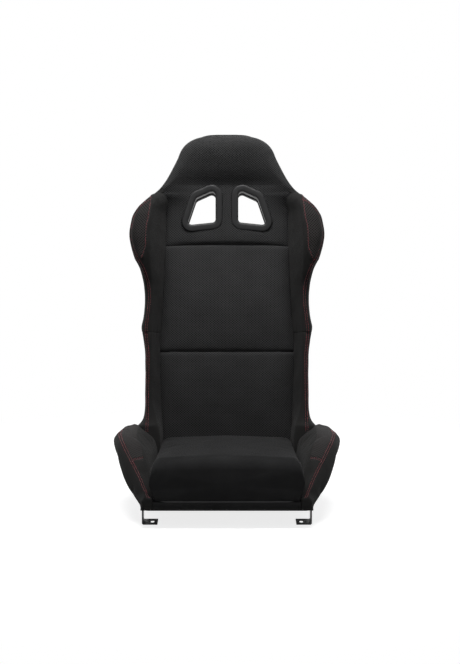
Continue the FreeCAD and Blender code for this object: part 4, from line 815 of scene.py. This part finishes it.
def bezel_piece(name, base_proud, way, flare):
    """A flat ring round the opening with soft edges and a step inside it, joined to a sleeve.
    Its profile is how far out from the opening and how far off the face each edge lies."""
    profile = [
        (flare, -SLEEVE_LENGTH), (0.0, 0.5), (0.2, 2.4), (0.9, 3.3), (2.0, 3.6), (2.8, 3.7),
        (3.4, 4.4), (4.4, 4.9), (7.0, 5.1), (12.0, 5.1), (15.4, 4.8), (17.4, 4.1), (18.5, 2.8),
        (19.0, 0.2), (18.0, -0.3), (SLEEVE_WALL, -0.3), (SLEEVE_WALL + flare, -SLEEVE_LENGTH),
    ]
    build = bmesh.new()
    rows = [
        [build.verts.new(on_back(p.x, p.y, base_proud + way * out)) for p in opening_outline(grow)]
        for grow, out in profile
    ]
    for low, high in zip(rows, rows[1:] + rows[:1]):
        for corners in zip(low, low[1:] + low[:1], high[1:] + high[:1], high):
            build.faces.new(corners).smooth = True
    built(name, build)


for side in (1, -1):
    outline = opening_outline(COVER_CLEARANCE)
    cutter = skin("cutter", [
        [on_back(side * point.x, point.y, proud) for point in outline] for proud in (-60, 60)
    ])
    baked(head_cover, "BOOLEAN", object=cutter, operation="DIFFERENCE", solver="EXACT")
    bpy.data.objects.remove(PIECES.pop("cutter"))
bezel_piece("harness_ring_right", BEZEL_GAP, 1, 0.8)
bezel_piece("rear_ring_right", -BEHIND - BEZEL_GAP - BOARD_THICKNESS - BEZEL_GAP, -1, 0)

# Base

BASE_SIDE, BASE_INNER = 207.6, 182
THIGH_SIDE, THIGH_TOP, THIGH_ROOT = 294, 191, 75.5
LIP_BOTTOM, LIP_DEPTH, LIP_TOP = 45.6, 26.6, 70.2
THIGH_LENGTH, THIGH_WIDEST = 370, 250
THIGH_CREST = [(0, 189), (50, 206), (110, 211), (150, 216), (200, 228), (260, 234)]
# Behind its front end the pad's foot stays inside the bracket.
THIGH_FOOT = [(26, 5), (38, -0.6)]
# Depth; share of the full height; share of the full width; inner side; height of the flank.
THIGH_STATIONS = (
    (0, 0.03, 0.02, 184, 47), (14, 0.11, 0.09, 185.5, 49), (50, 0.37, 0.29, 190, 84),
    (110, 0.73, 0.64, 196, 84), (180, 0.95, 0.90, 198, 84), (250, 1.0, 1.0, 196, 86),
    (320, 1.0, 0.88, 191, 86), (385, 1.0, 0.52, 186, 86),
)


def thigh_value(column, depth):
    return between([(station[0], station[column]) for station in THIGH_STATIONS], depth)


def thigh_side(depth):
    return mix(BASE_SIDE, THIGH_SIDE, thigh_value(2, depth))


def thigh_ring(depth):
    """Section across a thigh bolster, from its foot round its outside and over the top."""
    rise, outer = thigh_value(1, depth), thigh_side(depth)
    top = mix(THIGH_ROOT, THIGH_TOP, rise)
    foot = BASE_SIDE + between(THIGH_FOOT, depth)
    return rounded([
        (BASE_INNER + 0.8, LIP_BOTTOM, 3),
        (foot, LIP_BOTTOM, 5),
        (foot, thigh_value(4, depth), 4),
        (outer - 2, mix(LIP_BOTTOM + 12, top - 30, rise), mix(3, 14, rise)),
        (outer, mix(LIP_BOTTOM + 22, top - 16, rise), mix(3, 14, rise)),
        (outer - mix(9, 15, rise), top + 3, mix(4, 11, rise)),
        (between(THIGH_CREST, depth), top - mix(1, 3, rise), mix(4, 12, rise)),
        (thigh_value(3, depth), mix(THIGH_ROOT - 1, 156, rise), mix(2, 24, rise)),
        (BASE_INNER + 1, THIGH_ROOT - 5, 3),
    ], (3, 3, 8, 2, 3, 6, 6, 8, 3))


def thigh_held(place):
    """The foot and the rear end, which are sewn down."""
    return place.z < 0.072 or place.y > FRONT_Y + 0.360


thigh_rings = []
for depth in steps(0, THIGH_LENGTH, 90):
    ring = []
    for point in thigh_ring(depth)[0]:
        soft = drape(on_base(point.x, depth, point.y), (1.6, 20, 7.0), (0.4, 60, 1.0))
        # The sewn foot and front end stay even.
        if point.y <= 90 or depth <= 12:
            soft = 0
        ring.append(on_base(point.x, depth, point.y + soft))
    thigh_rings.append(ring)
thigh_marks = thigh_ring(THIGH_WIDEST)[1]
thigh_cover = skin("thigh_cover_right", thigh_rings, thigh_marks[CREST_CORNER])
puffed(thigh_cover, 2.5 * MM, thigh_held, 0.002)
subdivided(thigh_cover)


def crosswise(name, half, count, section, side_points):
    """A piece that runs across the seat, as a skin of its sections."""
    skin(name, [
        [on_base(across, point.x, point.y) for point in rounded(section(across), side_points)[0]]
        for across in steps(-half, half, count)
    ])


def lip_section(across):
    sag = 1.2 * noise.noise(Vector((across * 0.03, 0.3, 0.7)))
    return [(0, LIP_BOTTOM + sag, 8), (LIP_DEPTH, LIP_BOTTOM, 3), (LIP_DEPTH, LIP_TOP, 5),
            (0, LIP_TOP, 11)]


PAD_HALF, PAD_EDGE = BASE_INNER - 0.3, 3
PAD_FRONT, PAD_REAR, PAD_LOW, PAD_TOP = 27.2, 437, 47.8, 67.5


def pad_section(across):
    """The flat pad under the cushion, whose upper edge drops away at the two sides."""
    inset = max(0, PAD_EDGE - (PAD_HALF - abs(across)))
    top = PAD_TOP - (PAD_EDGE - math.sqrt(max(PAD_EDGE ** 2 - inset ** 2, 0)))
    return [(PAD_FRONT, PAD_LOW, PAD_EDGE), (PAD_REAR, PAD_LOW, PAD_EDGE),
            (PAD_REAR, top, PAD_EDGE), (PAD_FRONT, top, PAD_EDGE)]


crosswise("lip_cover", BASE_INNER, 60, lip_section, (4, 5, 4, 5))
crosswise("base_pad_cover", PAD_HALF, 40, pad_section, (30, 2, 30, 2))

# Cushion

CUSHION_LOW, CUSHION_FRONT, CUSHION_REAR = 70.6, 1, 396
CUSHION_FRONT_TOP, CUSHION_REAR_TOP = 171, 147
CUSHION_HALF, CUSHION_REAR_HALF, CUSHION_FOOT_INSET = 192.5, 180, 14
# The rolled front edge's radius, and the length over which top and sides draw in.
CUSHION_ROLL, CUSHION_TAPER = 34, 430
# Rows lie closer together over the rolled front, up to this depth behind it.
ROLLED, ROLLED_ROWS = 36, 14


def cushion_height(depth):
    """Height of the cushion's top line over its length: a rolled front, then a gentle fall."""
    top = mix(CUSHION_FRONT_TOP, CUSHION_REAR_TOP, depth / CUSHION_TAPER)
    lead = max(0, CUSHION_ROLL - (depth - CUSHION_FRONT))
    return top - (CUSHION_ROLL - math.sqrt(max(CUSHION_ROLL ** 2 - lead ** 2, 0))) * 0.9


def cushion_ring(depth):
    half = mix(CUSHION_HALF, CUSHION_REAR_HALF, depth / CUSHION_TAPER)
    top = cushion_height(depth)
    foot = half - CUSHION_FOOT_INSET
    widest = mix(CUSHION_LOW, top, 0.55)
    return rounded([
        (-foot, CUSHION_LOW, 12), (foot, CUSHION_LOW, 12), (half + 0.5, widest, 30),
        (half - 8, top - 1, 24), (0, top + 5, 120), (8 - half, top - 1, 24),
        (-half - 0.5, widest, 30),
    ], (20, 4, 3, 14, 14, 3, 4))[0]


def on_cushion_foot(place):
    return place.z < (CUSHION_LOW + 1) * MM


cushion_depths = [
    CUSHION_FRONT + ROLLED * (1 - math.cos(math.pi / 2 * row / ROLLED_ROWS))
    for row in range(ROLLED_ROWS + 1)
] + steps(42, CUSHION_REAR, 52)
cushion = skin("cushion_cover", [
    [on_base(point.x, depth, point.y) for point in cushion_ring(depth)]
    for depth in cushion_depths
])
puffed(cushion, 4 * MM, on_cushion_foot, 0.004)
subdivided(cushion)

# Seams and stitches

STITCH = {"Pitch": 4.2 * MM, "Length": 3.0 * MM, "Thickness": 0.8 * MM, "Thread": RED_THREAD}
# Rays that lay a line on a cover start this many metres off it; the line lies this many
# millimetres above it.
RAY_START, THREAD_LIFT = 0.15, 0.1
SEAM_DEPTH, SEAM_WIDTH = 2.2 * MM, 4.5 * MM
# How far from its seam each row of stitches lies: a row on both sides, or on one.
BOTH, OUTSIDE, INSIDE = (-2.75, 2.75), (3,), (-3,)
INTO_BACK = -OUT_OF_BACK
DOWN = Vector((0, 0, -1))
INWARDS = Vector((-1, 0, 0))


def stitch_tree():
    """Geometry Nodes: one stitch lies at each even step of a seam line."""
    tree = bpy.data.node_groups.new("stitches", "GeometryNodeTree")
    for name, way, kind in (
            ("Seam", "INPUT", "Geometry"), ("Pitch", "INPUT", "Float"),
            ("Length", "INPUT", "Float"), ("Thickness", "INPUT", "Float"),
            ("Thread", "INPUT", "Material"), ("Stitches", "OUTPUT", "Geometry")):
        tree.interface.new_socket(name, in_out=way, socket_type=f"NodeSocket{kind}")
    kit = Nodes(tree)
    given = kit.node("NodeGroupInput").outputs
    evenly = kit.node("GeometryNodeResampleCurve", {"mode": "LENGTH"},
                      Curve=given["Seam"], Length=given["Pitch"])
    tangent = kit.node("GeometryNodeInputTangent")
    align = kit.node("FunctionNodeAlignEulerToVector", {"axis": "Z"}, Vector=tangent.outputs[0])
    bead = kit.node("GeometryNodeMeshUVSphere", Segments=6, Rings=5, Radius=0.5)
    size = kit.node("ShaderNodeCombineXYZ")
    for axis, name in (("X", "Thickness"), ("Y", "Thickness"), ("Z", "Length")):
        kit.feed(size.inputs[axis], given[name])
    beads = kit.node("GeometryNodeInstanceOnPoints", Points=evenly.outputs[0],
                     Instance=bead.outputs["Mesh"], Rotation=align.outputs[0],
                     Scale=size.outputs[0])
    stitches = kit.node("GeometryNodeRealizeInstances", Geometry=beads.outputs[0])
    threaded = kit.node("GeometryNodeSetMaterial", Geometry=stitches.outputs[0],
                        Material=given["Thread"])
    kit.node("NodeGroupOutput", Stitches=threaded.outputs[0])
    return tree


def stitched(name, lines):
    """Stitches along seam lines, as one plain mesh."""
    curve = bpy.data.curves.new(name, "CURVE")
    curve.dimensions = "3D"
    for line in lines:
        spline = curve.splines.new("POLY")
        spline.points.add(len(line) - 1)
        for point, place in zip(spline.points, line):
            point.co = (*place, 1)
    seam = linked(f"{name}_line", curve)
    modifier = seam.modifiers.new("stitches", "NODES")
    modifier.node_group = stitch_tree()
    for item in modifier.node_group.interface.items_tree:
        if item.name in STITCH:
            modifier[item.identifier] = STITCH[item.name]
    mesh = evaluated_mesh(seam)
    bpy.data.objects.remove(seam)
    for polygon in mesh.polygons:
        polygon.use_smooth = True
    add_piece(name, mesh)


def laid_on(piece, line, towards):
    """A line laid on the surface of a piece, seen along one direction."""
    laid = []
    for point in line:
        hit, place, normal, _ = piece.ray_cast(point - towards * RAY_START, towards)
        if not hit:
            _, place, normal, _ = piece.closest_point_on_mesh(point)
        laid.append(place + normal * THREAD_LIFT * MM)
    return laid


def pressed_seam(piece, line, depth):
    """Draw the surface in along a seam, so that the cloth rolls down to it from both sides."""
    tree = KDTree(len(line))
    for index, point in enumerate(line):
        tree.insert(point, index)
    tree.balance()
    moves = []
    for vert in piece.data.vertices:
        distance = tree.find(vert.co)[2]
        if distance < 3 * SEAM_WIDTH:
            dip = -depth * math.exp(-(distance / SEAM_WIDTH) ** 2)
            moves.append((vert, vert.normal * dip))
    for vert, move in moves:
        vert.co += move
    piece.data.update()


# How far the waist seam lies inside the seat's outline.
WAIST_SEAM = [
    (0, 5), (200, 6), (SEAM_LEVEL, 8), (415, 12), (460, 9), (500, 5), (540, 3), (600, 4), (630, 8),
    (652, 16),
]
WING_SEAM = [(494, 224), (528, 213), (568, 212), (609, 205), (654, 201), (672, 202)]
WING_PANEL_FOOT, WING_PANEL_REAR = 494, -52
# The thigh bolster's mesh insert: the depth where it starts, and its distance from the side.
INSERT_END, THIGH_SEAM_INSET = 96, 17


def waist_line(level, offset):
    across = between(OUTLINE, level) - between(WAIST_SEAM, level)
    return on_back(across + offset, level, between(PROUD, level) + 6)


def wing_seam_line(level, offset):
    return on_back(between(WING_SEAM, level) + offset, level, between(PROUD, level) + 20)


def wing_foot_line(proud, offset):
    """The lower end of the outer panel, round the side of the wing."""
    return on_back(between(OUTLINE, WING_PANEL_FOOT) + 30, WING_PANEL_FOOT + offset, proud)


def wing_rear_line(level, offset):
    return on_back(between(OUTLINE, level) + 30, level, WING_PANEL_REAR + offset)


def thigh_line(depth, offset):
    return on_base(thigh_side(depth) - THIGH_SEAM_INSET + offset, depth, THIGH_TOP)


def insert_end_line(share, offset):
    across = mix(thigh_side(INSERT_END) - 20, between(THIGH_CREST, INSERT_END) + 2, share)
    return on_base(across, INSERT_END + 14 * share + offset, THIGH_TOP)


waist_levels, flank_levels = steps(34, SEAM_LEVEL - 3, 90), steps(SEAM_LEVEL + 3, 652, 115)
wing_levels = steps(WING_PANEL_FOOT, 672, 60)
foot_prouds = steps(WING_PANEL_REAR, between(PROUD, WING_PANEL_FOOT) - 14, 30)
SEAMS = (
    (waist_line, waist_levels, side_cover, INTO_BACK, SEAM_DEPTH, BOTH),
    (waist_line, flank_levels, wing_cover, INTO_BACK, SEAM_DEPTH, BOTH),
    (wing_seam_line, wing_levels, wing_cover, INTO_BACK, SEAM_DEPTH, OUTSIDE),
    (wing_foot_line, foot_prouds, wing_cover, INWARDS, SEAM_DEPTH / 3, INSIDE),
    (wing_rear_line, wing_levels, wing_cover, INWARDS, SEAM_DEPTH / 3, INSIDE),
    (thigh_line, steps(3, 300, 110), thigh_cover, DOWN, SEAM_DEPTH, BOTH),
    (insert_end_line, steps(0, 1, 12), thigh_cover, DOWN, SEAM_DEPTH, BOTH),
)
for line_of, positions, piece, towards, depth, _ in SEAMS:
    pressed_seam(piece, laid_on(piece, [line_of(at, 0) for at in positions], towards), depth)
stitched("red_stitches_right", [
    laid_on(piece, [line_of(at, offset) for at in positions], towards)
    for line_of, positions, piece, towards, _, offsets in SEAMS for offset in offsets
])

# Finishes


def paint(piece, material):
    piece.data.materials.clear()
    piece.data.materials.append(material)


def painted_beyond(piece, material, beyond):
    """Give the faces whose middles lie beyond a seam another cloth."""
    piece.data.materials.append(material)
    slot = len(piece.data.materials) - 1
    for polygon in piece.data.polygons:
        if beyond(polygon.center):
            polygon.material_index = slot


def on_wing_outside(place):
    """Outside the stitched seam of the wing, seen from the front."""
    lift = place - BACK_FOOT
    level, proud = lift.dot(UP_BACK) / MM, lift.dot(OUT_OF_BACK) / MM
    return (level > WING_PANEL_FOOT and place.x > between(WING_SEAM, level) * MM
            and proud > WING_PANEL_REAR)


def on_thigh_insert(place):
    depth, across = (place.y - FRONT_Y) / MM, place.x / MM
    side = thigh_side(depth) - THIGH_SEAM_INSET
    return depth > INSERT_END and between(THIGH_CREST, depth) < across < side


COVER_CLOTHS = {
    "side_bolster_cover_right": BOLSTER_CLOTH, "shoulder_wing_cover_right": BOLSTER_CLOTH,
    "thigh_cover_right": BOLSTER_CLOTH, "harness_ring_right": BLACK_PLASTIC,
    "rear_ring_right": BLACK_PLASTIC, "red_stitches_right": RED_THREAD,
    "lumbar_cover": CENTRE_MESH, "upper_back_cover": CENTRE_MESH, "head_cover": CENTRE_MESH,
    "lip_cover": CUSHION_CLOTH, "base_pad_cover": LINING, "cushion_cover": CUSHION_CLOTH,
}
for name, material in COVER_CLOTHS.items():
    paint(PIECES[name], material)
painted_beyond(wing_cover, SIDE_CLOTH, on_wing_outside)
painted_beyond(thigh_cover, SIDE_CLOTH, on_thigh_insert)
for name in list(PIECES):
    if name.endswith("_right"):
        mirror_piece(PIECES[name], name.replace("_right", "_left"))

NODE_FINISHES = {
    FRAME_COAT: "base_frame back_hoop rear_cross_tube lumbar_cross_tube shoulder_cross_tube "
                "wing_stay_right wing_stay_left thigh_stay_right thigh_stay_left frame_bosses",
    BLACK_PLASTIC: "frame_end_plugs",
    STRAP_CLOTH: "back_webbing seat_webbing",
    BRACKET_COAT: "bracket_right bracket_left",
    SCREW_BLACK: "bracket_screws",
    FOAM: "back_foam",
    BOARD_FELT: "rear_cover",
    LINING: "dust_cover",
    TAPE: "base_loop_strips cushion_hook_strips",
}
for material, names in NODE_FINISHES.items():
    for name in names.split():
        paint(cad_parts[name], material)

# What rides on what

# The nodes that each piece stands for, and its slot. The left-hand pieces follow the right.
STANDS_FOR = {
    "side_bolster_cover_right": ("side_bolster_right", "bolster_fabric"),
    "shoulder_wing_cover_right": ("shoulder_wing_right", "bolster_fabric"),
    "thigh_cover_right": ("thigh_bolster_right", "bolster_fabric"),
    "harness_ring_right": ("harness_bezel_right", "black_plastic"),
    "rear_ring_right": ("rear_bezel_right", "black_plastic"),
    "lumbar_cover": ("lumbar_panel", "centre_mesh"),
    "upper_back_cover": ("upper_back_panel", "centre_mesh"),
    "head_cover": ("head_pad head_panel", "centre_mesh"),
    "lip_cover": ("front_lip", "cushion_fabric"),
    "base_pad_cover": ("base_pad", "cushion_fabric"),
    "cushion_cover": ("seat_cushion", "cushion_fabric"),
}
for name, (node, slot) in list(STANDS_FOR.items()):
    if name.endswith("_right"):
        STANDS_FOR[name.replace("_right", "_left")] = (node.replace("_right", "_left"), slot)
MOVING = {"cushion_cover"}
for name, piece in PIECES.items():
    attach(piece, "cushion" if name in MOVING else "seat")
    if name in STANDS_FOR:
        node, slot = STANDS_FOR[name]
        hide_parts(*node.split())

# Stage and light

FLOOR_REACH, FLOOR_TONE, FLOOR_GLOW, AMBIENT = 30, 0.45, 0.8, 0.12
# The shadow on the floor fades into the white backdrop between these distances.
FADE_START, FADE_END = 0.5, 1.3


def shown_white(kit, plain, white, output):
    """White where the camera, a mirror or glass sees it; the plain surface for all other light."""
    rays = kit.node("ShaderNodeLightPath").outputs
    seen = kit.math("MAXIMUM", rays["Is Camera Ray"], rays["Is Glossy Ray"])
    seen = kit.math("MAXIMUM", seen, rays["Is Transmission Ray"])
    shown = kit.fed("ShaderNodeMixShader", {}, seen, plain, white)
    kit.feed(kit.nodes[output].inputs["Surface"], shown)


corners = [(x * FLOOR_REACH, y * FLOOR_REACH, 0) for x, y in ((-1, -1), (1, -1), (1, 1), (-1, 1))]
floor_mesh = bpy.data.meshes.new("floor")
floor_mesh.from_pydata(corners, [], [(0, 1, 2, 3)])
floor = linked("floor", floor_mesh)
ground = Shader("floor", (FLOOR_TONE, FLOOR_TONE, FLOOR_TONE), 0.9, specular_ior_level=0.1)
plain = ground.surface.outputs[0]
# Seen directly, the floor keeps the seat's shadow near it and runs out into the white backdrop.
glow = ground.node("ShaderNodeEmission", Strength=FLOOR_GLOW).outputs[0]
lit = ground.fed("ShaderNodeAddShader", {}, plain, glow)
distance = ground.node("ShaderNodeVectorMath", {"operation": "LENGTH"}, Vector=ground.place())
fade = ground.ramp(distance.outputs["Value"], FADE_START, FADE_END, kind="SMOOTHSTEP")
backdrop = ground.node("ShaderNodeEmission").outputs[0]
white = ground.fed("ShaderNodeMixShader", {}, fade, lit, backdrop)
shown_white(ground, plain, white, "Material Output")
floor_mesh.materials.append(ground.material)

world = bpy.data.worlds.new("studio")
world.use_nodes = True
bpy.context.scene.world = world
sky = Nodes(world.node_tree)
ambient = sky.nodes["Background"]
ambient.inputs["Color"].default_value = (0.9, 0.93, 1.0, 1)
ambient.inputs["Strength"].default_value = AMBIENT
white = sky.node("ShaderNodeBackground", Color=(1, 1, 1, 1), Strength=1.0)
shown_white(sky, ambient.outputs[0], white.outputs[0], "World Output")


def softbox(name, place, aim, width, height, power):
    """A large soft lamp that faces a point."""
    lamp = bpy.data.lights.new(name, "AREA")
    lamp.shape = "RECTANGLE"
    lamp.size, lamp.size_y = width, height
    lamp.energy = power
    box = linked(name, lamp)
    box.location = place
    box.rotation_euler = (Vector(aim) - Vector(place)).to_track_quat("-Z", "Y").to_euler()


SEAT_MIDDLE = (0, 0, 0.5)
softbox("top_box", (0, -0.42, 2.5), (0, 0.12, 0.6), 1.6, 0.7, 68)
softbox("left_box", (-2.6, -2.0, 1.6), SEAT_MIDDLE, 1.4, 2.2, 5)
softbox("rear_box", (0, 3.0, 1.3), SEAT_MIDDLE, 2.4, 1.6, 30)
softbox("right_box", (2.6, -2.0, 1.6), SEAT_MIDDLE, 1.4, 2.2, 5)
